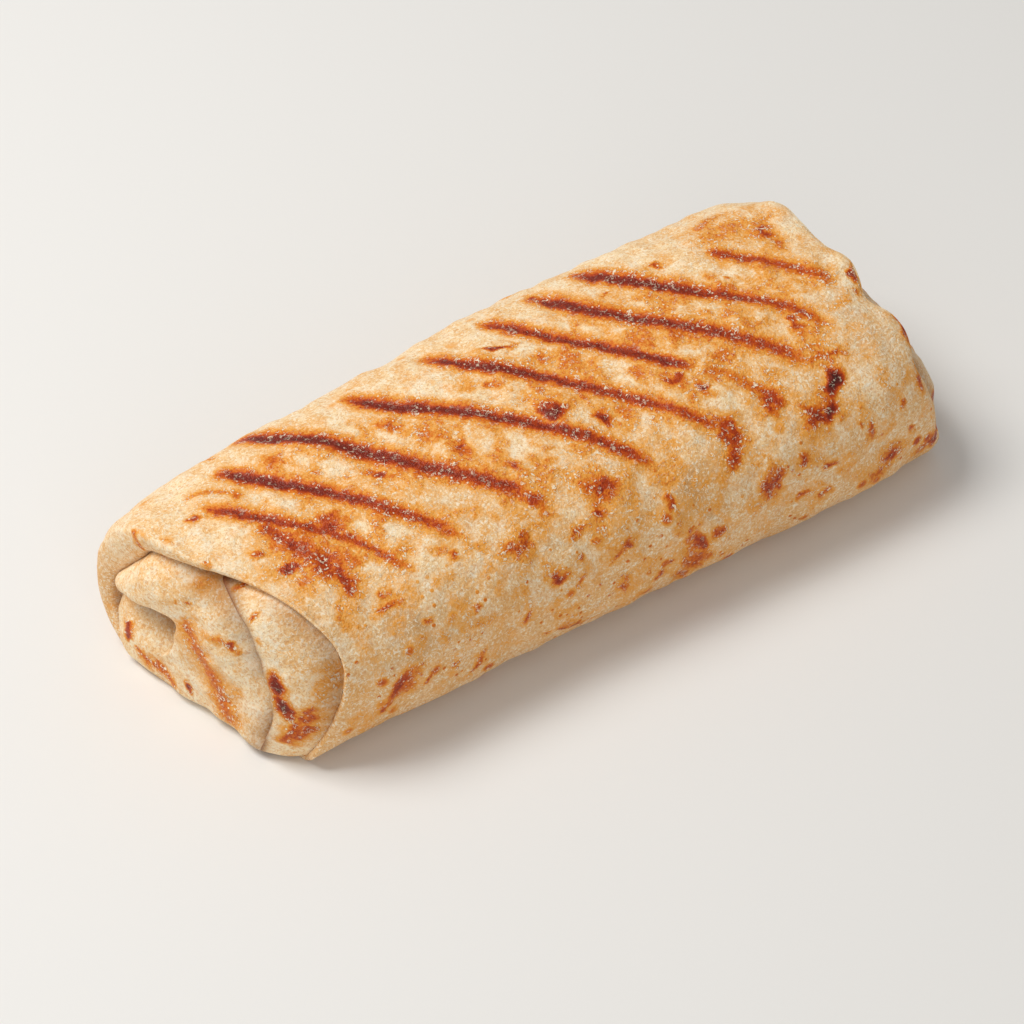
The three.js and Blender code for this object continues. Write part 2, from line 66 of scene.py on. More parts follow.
# Rims of the outer layer: angle in degrees from +Y towards +Z, radius, x, thickness of the lip
NEAR_RIM = np.array([
    (-81.5, 20.0, -91.2, 2.5), (-51, 24.3, -93.4, 3), (-31, 25.6, -93.9, 3.8),
    (-5, 24.4, -93.9, 5.2), (23, 23.3, -93.1, 7.8), (47, 23.2, -91.9, 7.8),
    (69, 22.8, -90.0, 5.6), (92.5, 22.4, -86.9, 4.4), (112, 23.6, -82.9, 3.6), (130, 27.1, -77.2, 3),
    (148, 33.8, -71.8, 2.2), (164, 38.0, -68.0, 1.8), (181, 39.6, -69.6, 1.8),
    (197, 40.4, -74.2, 1.8), (203, 40.8, -76.6, 1.8), (209, 40.0, -76.6, 1.8),
    (225, 28.4, -81.6, 2), (247.5, 21.5, -87.4, 2)])
FAR_RIM = np.array([
    (-81.5, 20.0, 93.5, 2.4), (-50, 24.5, 93, 2.8), (-25, 30, 91.5, 3.2), (0, 32, 89, 3.2),
    (27, 31.5, 86.5, 3), (45, 29.5, 86, 2.8), (65, 24.8, 85.6, 2.4), (88, 22.6, 85.2, 2.2),
    (108, 22.9, 86.8, 2), (118, 23.8, 85.8, 2), (131, 26.6, 83.8, 2), (142, 28.7, 86.8, 2),
    (152, 32.2, 87, 2), (162, 34.9, 85.8, 2), (171, 36.6, 87.2, 2), (181, 37.6, 89, 2),
    (192, 37.6, 90.8, 2), (203, 38.3, 93.6, 2), (214, 34.2, 94.2, 2), (230, 26.3, 94.2, 2),
    (250, 21.4, 94, 2)])
LIP_REACH = 2.2             # how far the thickest lip would stand out of its rim
LIP_HALF = 2.6              # thickness at which it stands out by half of that
LIP_SLOPE = 0.3             # a lip's inner end lies deeper by this share of its thickness

# Marks on the skin are placed by x along the wrap and s around it, the length over a section
# from the crown, growing towards the front. Lines burnt by the ribs of the grill: the points of
# each, its half width, and how dark it is at its start and at its end
GRILL_LINES = [
    ([(-78, -13.5), (-74, -12), (-70, -9.5), (-67, -6)], 0.6, 0.42, 0.42),
    ([(-77, -8), (-69, 1), (-62, 8.5), (-55, 16), (-50, 24), (-45, 32)], 1.0, 0.82, 0.6),
    ([(-68, 3), (-66.5, 10), (-63, 18), (-60, 24), (-60, 32)], 1.5, 0.7, 0.62),
    ([(-66.5, -30), (-65, -23)], 0.7, 0.6, 0.3),
    ([(-69, -18), (-60, -6.5), (-51, 4.5), (-41, 17), (-35.5, 24), (-30.5, 30.5)], 1.1, 1.0, 0.62),
    ([(-59, -29), (-50, -16.5), (-40, -4), (-31, 8), (-22, 17.5), (-16, 24), (-12, 31)],
     1.3, 1.05, 0.75),
    ([(-34, -23), (-27, -13), (-17, -3), (-6.5, 7.5), (2, 16), (8, 23), (17, 35)], 1.1, 1.0, 0.75),
    ([(-12.5, -24), (-4, -11), (4, -3), (14, 9), (22.5, 18.5), (31.5, 28.5), (37, 36)],
     1.1, 0.95, 0.62),
    ([(5, -26), (13, -13), (23, -1), (28.5, 6), (34, 13), (38, 16)], 1.0, 0.85, 0.95),
    ([(38, 16), (43.5, 22), (49, 31)], 1.2, 0.5, 0.6),
    ([(19.5, -28), (26, -14.5), (36.5, -1), (48, 10.5), (58.5, 22.5), (63, 28)], 1.3, 0.95, 0.68),
    ([(32, -29), (38.5, -18), (48, -6.5), (60, 5.5), (67, 13.5), (72, 23)], 1.15, 1.0, 0.6),
    ([(60, -13), (68, -4.5), (75, 3.5), (80.5, 11)], 1.2, 0.72, 0.6),
]

# Scorched blisters: x, s, half width along x, half length along s, lean, how dark
SCORCHES = [
    (-91.2, -10.5, 1, 1.4, 0, 0.5), (-87.3, -3, 0.6, 1.7, 0.3, 0.45), (-84, 8, 0.5, 1.2, 0.3, 0.4),
    (-79.5, -5.2, 2, 1.5, 0, 0.78), (-68, -6.5, 2, 2.8, 0, 0.62), (-73, 12, 1.7, 1.1, 0, 0.62),
    (-69.5, 18, 2.7, 1.8, 0.5, 0.88), (-65.8, 13.5, 1.9, 2.6, 0, 0.85), (-60, 26, 2.3, 4.5, 0, 0.85),
    (-56, 23.5, 3, 2.2, 0, 0.55), (-55, 12.3, 3.8, 3.2, 0, 0.85), (-56, -11, 2.6, 3, 0.3, 0.58),
    (-39.3, 6, 2.5, 2, 0.4, 0.85), (-30, -6.5, 2.2, 2.6, 0.3, 0.56), (-25, 1.5, 2, 3.4, 0.2, 0.5),
    (-20.5, 8.5, 2.1, 1.8, 0, 0.82), (-16.5, 23, 2.1, 2, 0, 0.8), (-13.6, 27.5, 2.4, 2.2, 0.2, 0.82),
    (-13.5, 18.3, 2, 1.8, 0, 0.8), (-5, -4, 2.6, 2, 0, 0.58), (3.5, -13, 1.4, 1.8, 2, 0.95),
    (2.6, 10, 3, 2.6, 0.7, 1), (11.7, 17.6, 2.2, 2.7, 0.3, 0.96), (10, -4.5, 2.2, 2.6, 0.2, 0.6),
    (24.5, 9.5, 1.6, 1.9, 0.3, 0.5), (31.5, 17, 2.3, 1.7, 0.6, 0.75), (35.3, 20.3, 1.9, 1.7, 0.3, 0.95),
    (47.5, -15, 2, 1, 1, 0.65), (33.5, -13.5, 2, 1, 1, 0.6), (20, -26, 1.9, 2.2, 0, 0.85),
    (58.5, -2.5, 1.2, 1, 0, 0.6), (64, 16, 1.5, 3, -0.2, 0.78), (67.5, 26.3, 2.4, 1.6, -0.6, 0.72),
    (76, -11, 2.4, 3, 0, 0.62), (66, -22, 3, 1.6, 0, 0.5), (63.2, 32, 2.9, 3.4, -0.5, 1.25),
    (60.2, 37.5, 2.2, 3, -0.5, 1.1), (55.5, 38.5, 3.4, 2, 0.6, 0.8), (47.5, 29.5, 3, 3.4, 0, 0.74),
    (35, 32, 2.8, 3.4, 0.2, 0.84), (33.2, 38, 2, 2.2, 0, 0.7), (1.5, 31, 3, 3, 0, 0.7),
    (-1.8, 36.5, 2.2, 2.2, 0, 0.78), (-8, 37.5, 2.8, 1.1, 0, 0.62), (-22, 35.5, 2.2, 2.6, 0, 0.62),
    (-36.6, 30.8, 2, 1.5, 0, 0.7), (-47.5, 41.6, 1.8, 1, 0, 0.62), (-36.3, 43.5, 1, 0.9, 0, 0.6),
    (-54.5, 36, 1.6, 1.6, -1.6, 0.62), (-56.6, 54.2, 2.5, 5.2, -0.65, 0.8),
    (-60, 60.5, 1.2, 1.8, -0.6, 0.7), (-49.5, 55, 1.1, 2.2, -1.1, 0.66),
    (-37, 59.5, 1.1, 3.2, -0.8, 0.7), (-42.5, 56, 1.5, 1.3, -0.5, 0.62), (-24, 52.5, 1.3, 1.4, 0, 0.64),
    (-15.8, 46, 1.8, 2.4, 0, 0.8), (-10.5, 44.5, 1.3, 1.2, 0, 0.58), (-11, 49.3, 0.9, 1.6, 0, 0.56),
    (-13, 62.6, 2.4, 1.9, 4, 0.82), (-4.5, 42.5, 0.9, 1, 0, 0.55), (1.8, 44.8, 2.2, 1.5, 0, 0.76),
    (-1.2, 47.6, 1.2, 2.4, -0.9, 0.66), (0.8, 56, 1.8, 1.8, 0, 0.64), (10.2, 58.5, 2, 1.3, -0.6, 0.68),
    (14, 55.6, 1.3, 1.2, 0, 0.6), (7, 56, 0.9, 0.9, 0, 0.6), (14.9, 41, 1.5, 1.8, 0, 0.76),
    (18.4, 50.3, 1.4, 1.5, 0, 0.66), (21.2, 54.5, 2, 4.6, 0.25, 0.8), (21, 61.5, 2.4, 2.2, 0, 0.66),
    (26.2, 53, 1.8, 1.6, 0, 0.68), (17, 63.5, 2.4, 2, 0, 0.64), (7.5, 63.5, 1.2, 1.8, 0, 0.62),
    (27.5, 61.2, 1.6, 1.1, 0, 0.58), (40.4, 47.5, 2.4, 4.6, 0.2, 0.68), (49.7, 45.4, 2.2, 2, 0, 0.72),
    (49.5, 54.5, 1.9, 1.5, 0, 0.62), (56.4, 49.3, 1.7, 1.9, 0, 0.76), (55.6, 57, 1.6, 1.6, 0, 0.68),
    (68.6, 45.3, 1.3, 1.9, 0, 0.74), (66, 44, 0.7, 1.2, 0, 0.58), (77.9, 44, 1.1, 2.3, 0, 0.68),
    (75, 57, 1.9, 3.2, -0.7, 0.76), (71, 59.4, 2.4, 1, 0, 0.62), (80.8, 51.5, 0.9, 1.7, 0.2, 0.68),
    (85.5, 10, 1.4, 2.8, -0.2, 0.85), (83, 15, 1.2, 2, 0, 0.5), (88, 29, 1.6, 5, 0, 0.8),
    (85.5, 43, 1.3, 3.4, 0, 0.7), (89, 61.4, 5, 2.4, -1, 0.82),
]
# Golden toasted areas: x, s, half width along x, half length along s, lean, strength
TOASTED = [
    (-63, 18, 9, 11, 0.3, 1), (-72, 24, 4, 6, 0, 0.4), (-47, 3, 6, 4, 0.8, 0.45),
    (-38, 9, 5, 7, 0.5, 0.65), (-57, -9, 4.5, 5, 0.5, 0.5), (-24, 3, 5, 8, 0.3, 0.6),
    (-15.5, 17, 5, 6, 0.4, 0.6), (-3, -3, 6, 4, 0.7, 0.5), (4, 7, 6, 6, 0.8, 0.7),
    (1, 29.5, 5.5, 10.5, 0, 0.9), (-22, 35.5, 5, 5, 0, 0.9), (-9, 38, 3, 1.6, 0, 0.55),
    (31, 2, 5, 5, 0.8, 0.6), (42, 16, 6, 6, 0.5, 0.8), (56, 10, 3.5, 6, 0.7, 0.75),
    (66.5, 2.5, 5, 4, 0.5, 0.6), (70, -18, 14, 9, 0, 0.62), (76, -10, 5, 8, 0, 0.85),
    (10, -5, 5, 4, 0.4, 0.45), (34, -15, 6, 4, 0.8, 0.4), (34.5, 35, 5.5, 6, 0, 0.95),
    (41, 46, 4, 7.5, 0.1, 0.9), (49, 30.5, 6, 6, 0, 0.9), (58, 36, 7, 6.5, -0.4, 1),
    (21, 42, 6, 5, 0, 0.45), (-55, 35.5, 5, 2.5, -1.6, 0.9), (12, 22, 6, 7, 0.5, 0.5),
    (66, 20, 5, 9, -0.1, 0.7), (20, 58, 5, 8, 0, 0.8), (1, 56, 3, 3, 0, 0.6), (27, 53, 2.5, 2, 0, 0.55),
    (49.5, 55, 2.4, 2, 0, 0.6), (-30, -25, 6, 4, 0, 0.4), (5, 63, 6, 3, 0, 0.5),
    (-12, 61, 7, 2.2, 0.8, 0.6), (-57, 55, 4, 8, -0.65, 0.8), (-66, 60, 3, 5, -0.5, 0.5),
    (0, 45, 4.5, 5, -0.7, 0.7), (74, 57, 5, 5, -0.7, 0.8), (-63, 33, 3, 4, 0, 0.7),
    (-13, 31, 4, 4, 0, 0.7), (66, 26, 5, 5, 0, 0.7), (16, 36, 3, 4, 0, 0.6),
]
# Thin greyish areas where the filling shows through: x, s, half sizes, lean, strength
THIN = [(-52, 41, 9, 6, -0.5, 0.8), (22, 41, 6, 6, 0, 1.0), (-20, 37, 9, 4, 0, 0.7),
        (77, 22, 5, 9, 0, 0.5), (-30, 24, 5, 6, 0.4, 0.4), (8, 33, 5, 5, 0, 0.4)]


def smooth_through(x, xs, values):
    """A smooth curve through (x, value) pairs: cubic pieces whose slopes are taken from the
    neighbours; outside the pairs the end value is kept."""
    xs = np.asarray(xs, float)
    values = np.asarray(values, float)
    slopes = np.gradient(values, xs)
    x = np.clip(x, xs[0], xs[-1])
    i = np.clip(np.searchsorted(xs, x, side="right") - 1, 0, len(xs) - 2)
    h = xs[i + 1] - xs[i]
    t = (x - xs[i]) / h
    start = values[i] * (2 * t ** 3 - 3 * t ** 2 + 1) + slopes[i] * h * (t ** 3 - 2 * t ** 2 + t)
    return start + values[i + 1] * (3 * t ** 2 - 2 * t ** 3) + slopes[i + 1] * h * (t ** 3 - t ** 2)


def rim_at(rim, angle):
    """Radius, x and lip thickness of a rim at an angle, smooth around the whole turn."""
    turns = np.concatenate([rim[-2:, 0] - 360, rim[:, 0], rim[:2, 0] + 360])
    degrees = (np.degrees(angle) - rim[0, 0]) % 360 + rim[0, 0]
    return [smooth_through(degrees, turns, np.concatenate([rim[-2:, k], rim[:, k], rim[:2, k]]))
            for k in (1, 2, 3)]


def roll_radius(x, angle):
    """Radius of the full roll: four quarters of superellipses that share the centre line."""
    across, up = np.cos(angle), np.sin(angle)
    half = np.where(across > 0, smooth_through(x, *zip(*BACK_HALF)), smooth_through(x, *zip(*FRONT_HALF)))
    height = np.where(up > 0, HEIGHT + HEIGHT_RISE * x / 100 - AXIS_Z, BELOW_HALF)
    power = np.where(up > 0, np.where(across > 0, BACK_TOP_POWER, FRONT_TOP_POWER), BELOW_POWER)
    return (np.abs(across / half) ** power + np.abs(up / height) ** power) ** (-1 / power)


def soft_bump(x, angle):
    """Soft bumps of the filling under the bread, none where the wrap rests."""
    up = np.clip(np.sin(angle) + 0.35, 0, 1)
    waves = np.sin(x * 0.11 + 1.7 * angle) + np.sin(x * 0.067 - 2.3 * angle + 1)
    return SOFT_BUMP * up * waves * 0.5


def shoulder(share, power):
    """How much of the full radius is kept while the roll draws in: a superellipse quarter."""
    return (1 - np.clip(share, 0, 1) ** power) ** (1 / power)


def cross_point(x, radius, angle):
    """The point at a radius and an angle from the centre line, pressed flat where it rests."""
    y = AXIS_Y + radius * np.cos(angle)
    z = np.maximum(0, AXIS_Z + radius * np.sin(angle))
    return np.stack(np.broadcast_arrays(x, y, z), -1)


def skin(stage, angle, relief=0.0):
    """Outer skin: stage -1..0 draws in to the near rim, 0..1 runs along the roll and 1..2
    draws in to the far rim; relief moves it out from the centre line."""
    near_radius, near_x, _ = rim_at(NEAR_RIM, angle)
    far_radius, far_x, _ = rim_at(FAR_RIM, angle)
    x = NEAR_SHOULDER_X + (FAR_SHOULDER_X - NEAR_SHOULDER_X) * stage
    x = np.where(stage < 0, NEAR_SHOULDER_X - (near_x - NEAR_SHOULDER_X) * stage, x)
    x = np.where(stage > 1, FAR_SHOULDER_X + (far_x - FAR_SHOULDER_X) * (stage - 1), x)
    full = roll_radius(x, angle)
    near = near_radius + (full - near_radius) * shoulder(-stage, NEAR_SHOULDER_POWER)
    far = far_radius + (full - far_radius) * shoulder(stage - 1, FAR_SHOULDER_POWER)
    radius = np.where(stage < 0, near, np.where(stage > 1, far, full))
    fade = np.clip(1 - np.maximum(-stage, stage - 1), 0, 1)
    return cross_point(x, radius + fade * soft_bump(x, angle) + relief, angle)


def lip(rim, side, turn, angle):
    """Rounded lip: half an ellipse from the outside of the rim, turn 0, to its inside, pi,
    where it lies a little deeper. It stands out more the thicker it is."""
    radius, x, thick = rim_at(rim, angle)
    across = thick * (1 - np.cos(turn)) / 2
    out = LIP_REACH * thick / (thick + LIP_HALF) * np.sin(turn)
    return cross_point(x + side * (out - LIP_SLOPE * across), radius - across, angle)


def waves(points, size, seed, count=40):
    """Soft uneven noise: a sum of plane waves of random directions, each about size long."""
    rng = np.random.default_rng(seed)
    ways = rng.normal(size=(count, points.shape[-1]))
    ways /= np.linalg.norm(ways, axis=1)[:, None]
    lengths = size * rng.uniform(0.7, 1.6, count)
    phases = rng.uniform(0, 2 * np.pi, count)
    total = np.zeros(points.shape[:-1])
    for way, length, phase in zip(ways, lengths, phases):
        total += np.sin(points @ way * (2 * np.pi / length) + phase)
    return total / np.sqrt(count / 2)


def near_line(place, line):
    """Distance to a smooth line through a few points, and how far along it, 0 to 1."""
    line = np.asarray(line, float)
    lengths = np.concatenate([[0], np.cumsum(np.linalg.norm(np.diff(line, axis=0), axis=1))])
    fine = np.linspace(0, lengths[-1], 34)
    path = np.stack([smooth_through(fine, lengths, line[:, k]) for k in (0, 1)], -1)
    best = np.full(place.shape[:-1], 1e9)
    along = np.zeros(place.shape[:-1])
    for k in range(len(path) - 1):
        step = path[k + 1] - path[k]
        t = np.clip(((place - path[k]) @ step) / (step @ step), 0, 1)
        gap = np.linalg.norm(place - path[k] - t[..., None] * step, axis=-1)
        along = np.where(gap < best, (k + t) / (len(path) - 1), along)
        best = np.minimum(gap, best)
    return best, along


CORE_SHARE = 1.9            # half width of the burnt core and of the toasted glow beside it,
GLOW_SHARE = 3.4            # as a share of a line's own half width
FADE_START = 0.1            # shares of a line's length over which it starts and ends
FADE_END = 0.12


def burnt_lines(place, lines):
    """Closeness to the grill's lines, 0 to 1, a narrow bell across each line that fades at its
    ends, and the same for the wider glow beside them."""
    core = np.zeros(place.shape[:-1])
    glow = np.zeros(place.shape[:-1])
    for line, width, dark_start, dark_end in lines:
        gap, along = near_line(place, line)
        fade = np.clip(np.minimum(along / FADE_START, (1 - along) / FADE_END), 0, 1) ** 0.6
        dark = dark_start + (dark_end - dark_start) * np.clip(along * 1.6 - 0.5, 0, 1)
        core = np.maximum(core, dark * fade * np.exp(-(gap / (CORE_SHARE * width)) ** 2))
        glow = np.maximum(glow, dark * fade * np.exp(-(gap / (GLOW_SHARE * width)) ** 2))
    return core, glow


def near_spots(place, spots):
    """Strongest of a list of soft oval spots, each a bell that leans over as s grows."""
    total = np.zeros(place.shape[:-1])
    for x, s, wide, long, lean, strength in spots:
        ds = place[..., 1] - s
        dx = place[..., 0] - x - lean * ds
        total = np.maximum(total, strength * np.exp(-((dx / wide) ** 2 + (ds / long) ** 2)))
    return total


def closed_tube(name, grid, near_hub, far_hub):
    """A mesh from rings of points, closed at both ends by a fan to a hub."""
    rings, around = grid.shape[:2]
    index = np.arange(rings * around).reshape(rings, around)
    turned = np.roll(index, -1, axis=1)
    quads = np.stack([index[:-1], turned[:-1], turned[1:], index[1:]], -1).reshape(-1, 4)
    hub = rings * around
    first = np.stack([np.full(around, hub), turned[0], index[0]], -1)
    last = np.stack([np.full(around, hub + 1), index[-1], turned[-1]], -1)
    points = np.concatenate([grid.reshape(-1, 3), [near_hub], [far_hub]])
    return make_piece(name, points, quads.tolist() + first.tolist() + last.tolist())


def make_piece(name, points, faces):
    """A smooth-shaded object from points in the wrap's millimetres."""
    mesh = bpy.data.meshes.new(name)
    moved = (points - [CENTRE_X, CENTRE_Y, 0]) * MM
    mesh.from_pydata(moved, [], faces)
    mesh.shade_smooth()
    piece = bpy.data.objects.new(name, mesh)
    bpy.context.collection.objects.link(piece)
    return piece


def give_marks(piece, first=0, **marks):
    """Stores the number of each mark for each vertex from the first one on, for the material to
    read: 0 is none."""
    for name in ("grill", "glow", "scorch", "toast", "thin", "low", "crease"):
        values = np.zeros(len(piece.data.vertices))
        given = np.ravel(marks.get(name, 0))
        values[first:first + len(given)] = given
        attribute = piece.data.attributes.new(name, "FLOAT", "POINT")
        attribute.data.foreach_set("value", values)


AROUND = 286                # points around a ring
INNER_DEPTH = 11.0          # how far the bread runs in behind its lips, hidden by the folds
INNER_SHARE = 0.97
UNSEEN_SHARE = 0.45         # points lie further apart on the back and underside
SEEN_MIDDLE = 25            # the side that shows faces this way, degrees

# Angles of the points: equal steps along the section, each length weighted by what is seen
even = np.radians(np.linspace(-90, 270, 4001))
section = cross_point(0.0, roll_radius(0.0, even), even)
section_steps = np.linalg.norm(np.diff(section, axis=0), axis=1)
seen = UNSEEN_SHARE + (1 - UNSEEN_SHARE) * (np.sin(even - np.radians(SEEN_MIDDLE)) > -0.35)
lengths = np.concatenate([[0], np.cumsum(section_steps * seen[1:])])
angles = np.interp(np.arange(AROUND) / AROUND * lengths[-1], lengths, even)

# Stages of the rings, closer together where the roll curves in towards a rim
quarter = np.linspace(0, np.pi / 2, 76)
near_stages = -np.sin(quarter[::-1]) ** (2 / NEAR_SHOULDER_POWER)
far_stages = 1 + np.sin(np.linspace(0, np.pi / 2, 46)) ** (2 / FAR_SHOULDER_POWER)
stages = np.concatenate([near_stages, np.linspace(0, 1, 190)[1:-1], far_stages])
near_turns = np.linspace(np.pi, 0, 17)[:-1]
far_turns = np.linspace(0, np.pi, 13)[1:]

near_lip = lip(NEAR_RIM, -1, near_turns[:, None], angles[None])
far_lip = lip(FAR_RIM, 1, far_turns[:, None], angles[None])
smooth_skin = skin(stages[:, None], angles[None])
rings = np.concatenate([near_lip, smooth_skin, far_lip])

# Place of each vertex on the skin, (x, s), and the marks there; wobble keeps them uneven
arc = np.concatenate([[0], np.cumsum(section_steps)])
around = np.interp(angles, even, arc - np.interp(np.pi / 2, even, arc))
place = np.stack([rings[..., 0], np.broadcast_to(around, rings.shape[:2])], -1)
wobble = np.stack([waves(rings, 8, 3), waves(rings, 8, 4)], -1) * 0.35
fine_wobble = np.stack([waves(rings, 3.2, 7), waves(rings, 3.2, 8)], -1) * 0.45
grill, glow = burnt_lines(place + wobble * 0.25 + fine_wobble * 0.35, GRILL_LINES)
scorch = near_spots(place + wobble + fine_wobble, SCORCHES)
toast = near_spots(place + wobble * 3 + fine_wobble * 1.5, TOASTED)
thin = near_spots(place + wobble * 4, THIN)

# Two broad zones are lightly toasted in soft patches as well: the top, which the grill pressed,
# and the upper front, which bulges towards the heat. Middle (x, s) and half sizes of each
PRESSED_ZONE = (4, 8, 84, 25)
FRONT_ZONE = (12, 42, 82, 24)
PRESSED_TOAST = 0.66
FRONT_TOAST = 0.46


def in_zone(x, s, half_x, half_s):
    """1 inside a zone, falling off quickly at its ends and more softly along its sides."""
    return np.exp(-((place[..., 0] - x) / half_x) ** 8 - ((place[..., 1] - s) / half_s) ** 4)


patches = np.clip(0.55 + 0.4 * waves(rings, 9, 12) + 0.25 * waves(rings, 4, 13), 0, 1)
blotches = np.clip(0.45 + 0.45 * waves(place * [1, 0.8], 9, 14) + 0.25 * waves(place, 4, 15), 0, 1)
toast = np.maximum(toast, PRESSED_TOAST * in_zone(*PRESSED_ZONE) * patches)
toast = np.maximum(toast, FRONT_TOAST * in_zone(*FRONT_ZONE) * blotches)

# Relief of the skin in millimetres: broad unevenness, small puffs, and the grooves of the grill
BROAD_RELIEF = 0.22
PUFF_RELIEF = 0.12
GROOVE_DEPTH = 0.5
RELIEF_FROM_Z = 6.0         # none where the wrap rests, all of it from this height
out = np.stack([np.zeros_like(rings[..., 0]), rings[..., 1] - AXIS_Y, rings[..., 2] - AXIS_Z], -1)
out /= np.linalg.norm(out, axis=-1, keepdims=True)
above = np.clip(rings[..., 2] / RELIEF_FROM_Z, 0, 1)
relief = BROAD_RELIEF * waves(rings, 17, 5) + PUFF_RELIEF * waves(rings, 6, 6)
relief = above * (relief - GROOVE_DEPTH * grill)
shaped = rings + out * relief[..., None]
shaped[..., 2] = np.maximum(shaped[..., 2], 0)

NEAR_HUB_X = -76.0          # the two ends are closed behind the folds, by a fan to a hub
FAR_HUB_X = 84.0
near_hub = np.array([NEAR_HUB_X, AXIS_Y, AXIS_Z])
far_hub = np.array([FAR_HUB_X, AXIS_Y, AXIS_Z])
narrowed = [1, INNER_SHARE, INNER_SHARE]
inner_near = near_hub + (shaped[0] - near_hub) * narrowed + [INNER_DEPTH, 0, 0]
inner_far = far_hub + (shaped[-1] - far_hub) * narrowed - [INNER_DEPTH, 0, 0]
tube = np.concatenate([inner_near[None], shaped, inner_far[None]])
outer_layer = closed_tube("Outer_layer", tube, near_hub, far_hub)

# The bread is warmer and darker the lower it lies, partly its own tone and partly painted shade of
# the side turned from the light; painted shade darkens the crease inside the near lip
LOW_BELOW_Z = 45.0
LOW_OVER = 27.0
low = np.clip((LOW_BELOW_Z - rings[..., 2]) / LOW_OVER, 0, 1)
# Painted shade: a dark line on the inner half of the near lip, where it turns in against the folds,
# strongest on the front side
inner_lip = np.zeros(len(rings))
inner_lip[:len(near_turns)] = np.clip((near_turns - 0.75 * np.pi) / (0.2 * np.pi), 0, 1)
inner_shade = np.interp(np.degrees(angles), [-90, 0, 110, 130, 270], [0.3, 0.4, 0.5, 0.8, 0.8])
crease = inner_lip[:, None] * inner_shade
give_marks(outer_layer, first=AROUND, grill=grill, glow=glow, scorch=scorch, toast=toast, thin=thin,
           low=low, crease=crease)


def linear(red, green, blue):
    """Colour picked on screen, 0 to 255, as the linear numbers that shaders use."""
    part = np.array([red, green, blue]) / 255
    return (*np.where(part <= 0.04045, part / 12.92, ((part + 0.055) / 1.055) ** 2.4), 1.0)


class Nodes:
    """Short calls for placing and joining shader nodes in one tree."""

    def __init__(self, tree):
        self.tree = tree

    def add(self, kind, **values):
        node = self.tree.nodes.new(kind)
        for name, value in values.items():
            setattr(node, name, value)
        return node

    def feed(self, socket, value):
        if isinstance(value, bpy.types.NodeSocket):
            self.tree.links.new(value, socket)
        else:
            socket.default_value = value

    def math(self, operation, a, b=0.0):
        node = self.add("ShaderNodeMath", operation=operation)
        self.feed(node.inputs[0], a)
        self.feed(node.inputs[1], b)
        return node.outputs[0]

    def times(self, a, b):
        return self.math("MULTIPLY", a, b)

    def ramp(self, value, low, high, to_low=0.0, to_high=1.0, kind="SMOOTHSTEP"):
        """Turns low..high into to_low..to_high, with soft ends."""
        node = self.add("ShaderNodeMapRange", interpolation_type=kind)
        for socket, number in zip(node.inputs, (value, low, high, to_low, to_high)):
            self.feed(socket, number)
        return node.outputs[0]

    def mix(self, share, a, b):
        node = self.add("ShaderNodeMix", data_type="RGBA")
        self.feed(node.inputs[0], share)
        self.feed(node.inputs[6], a)
        self.feed(node.inputs[7], b)
        return node.outputs[2]

    def noise(self, place, scale, detail=2.0, rough=0.5, bend=0.0):
        """Soft noise; scale is in waves per metre, so 1500 gives grains of about 0.7 mm."""
        node = self.add("ShaderNodeTexNoise")
        self.feed(node.inputs["Vector"], place)
        node.inputs["Scale"].default_value = scale
        node.inputs["Detail"].default_value = detail
        node.inputs["Roughness"].default_value = rough
        node.inputs["Distortion"].default_value = bend
        return node.outputs["Fac"]

    def cells(self, place, scale):
        """Round cells: distance from each middle, and a random number for each cell."""
        node = self.add("ShaderNodeTexVoronoi")
        self.feed(node.inputs["Vector"], place)
        node.inputs["Scale"].default_value = scale
        return node.outputs["Distance"], node.outputs["Color"]

    def attribute(self, name):
        return self.add("ShaderNodeAttribute", attribute_name=name).outputs["Fac"]


def new_group(name, inputs, outputs):
    """A shader node group with named sockets, and the calls to fill it."""
    tree = bpy.data.node_groups.new(name, "ShaderNodeTree")
    kinds = {"value": "NodeSocketFloat", "colour": "NodeSocketColor", "place": "NodeSocketVector"}
    for socket, kind in inputs.items():
        tree.interface.new_socket(socket, in_out="INPUT", socket_type=kinds[kind])
    for socket, kind in outputs.items():
        tree.interface.new_socket(socket, in_out="OUTPUT", socket_type=kinds[kind])
    nodes = Nodes(tree)
    return nodes, nodes.add("NodeGroupInput").outputs, nodes.add("NodeGroupOutput").inputs


# Plain bread: cream, warmer and paler in broad areas, warmer and darker low down (partly painted shade),
# greyer where it is thin
nodes, given, result = new_group(
    "Plain bread", {"Place": "place", "Thin": "value", "Low": "value"}, {"Colour": "colour"})
broad = nodes.noise(given["Place"], 60, 2.0, 0.5)
middle = nodes.noise(given["Place"], 230, 3.0, 0.6, 0.3)
fine = nodes.noise(given["Place"], 1500, 3.0, 0.6, 0.8)
colour = nodes.mix(nodes.ramp(broad, 0.38, 0.62), linear(252, 224, 176), linear(247, 206, 148))
colour = nodes.mix(nodes.ramp(middle, 0.46, 0.66, 0.0, 0.7), colour, linear(255, 236, 202))
colour = nodes.mix(nodes.ramp(middle, 0.5, 0.34, 0.0, 0.55), colour, linear(238, 180, 106))
# Warmer and darker low down: partly the bread's own tone, partly painted shade of the side turned from
# the light
colour = nodes.mix(nodes.times(given["Low"], 0.6), colour, linear(230, 168, 88))
colour = nodes.mix(nodes.times(given["Thin"], nodes.ramp(middle, 0.35, 0.6, 0.4, 0.85)),
                   colour, linear(186, 140, 86))
colour = nodes.mix(nodes.ramp(fine, 0.48, 0.38, 0.0, 0.5), colour, linear(214, 140, 72))
colour = nodes.mix(nodes.ramp(fine, 0.53, 0.63, 0.0, 0.7), colour, linear(255, 244, 222))
nodes.feed(result["Colour"], colour)
plain_bread = nodes.tree

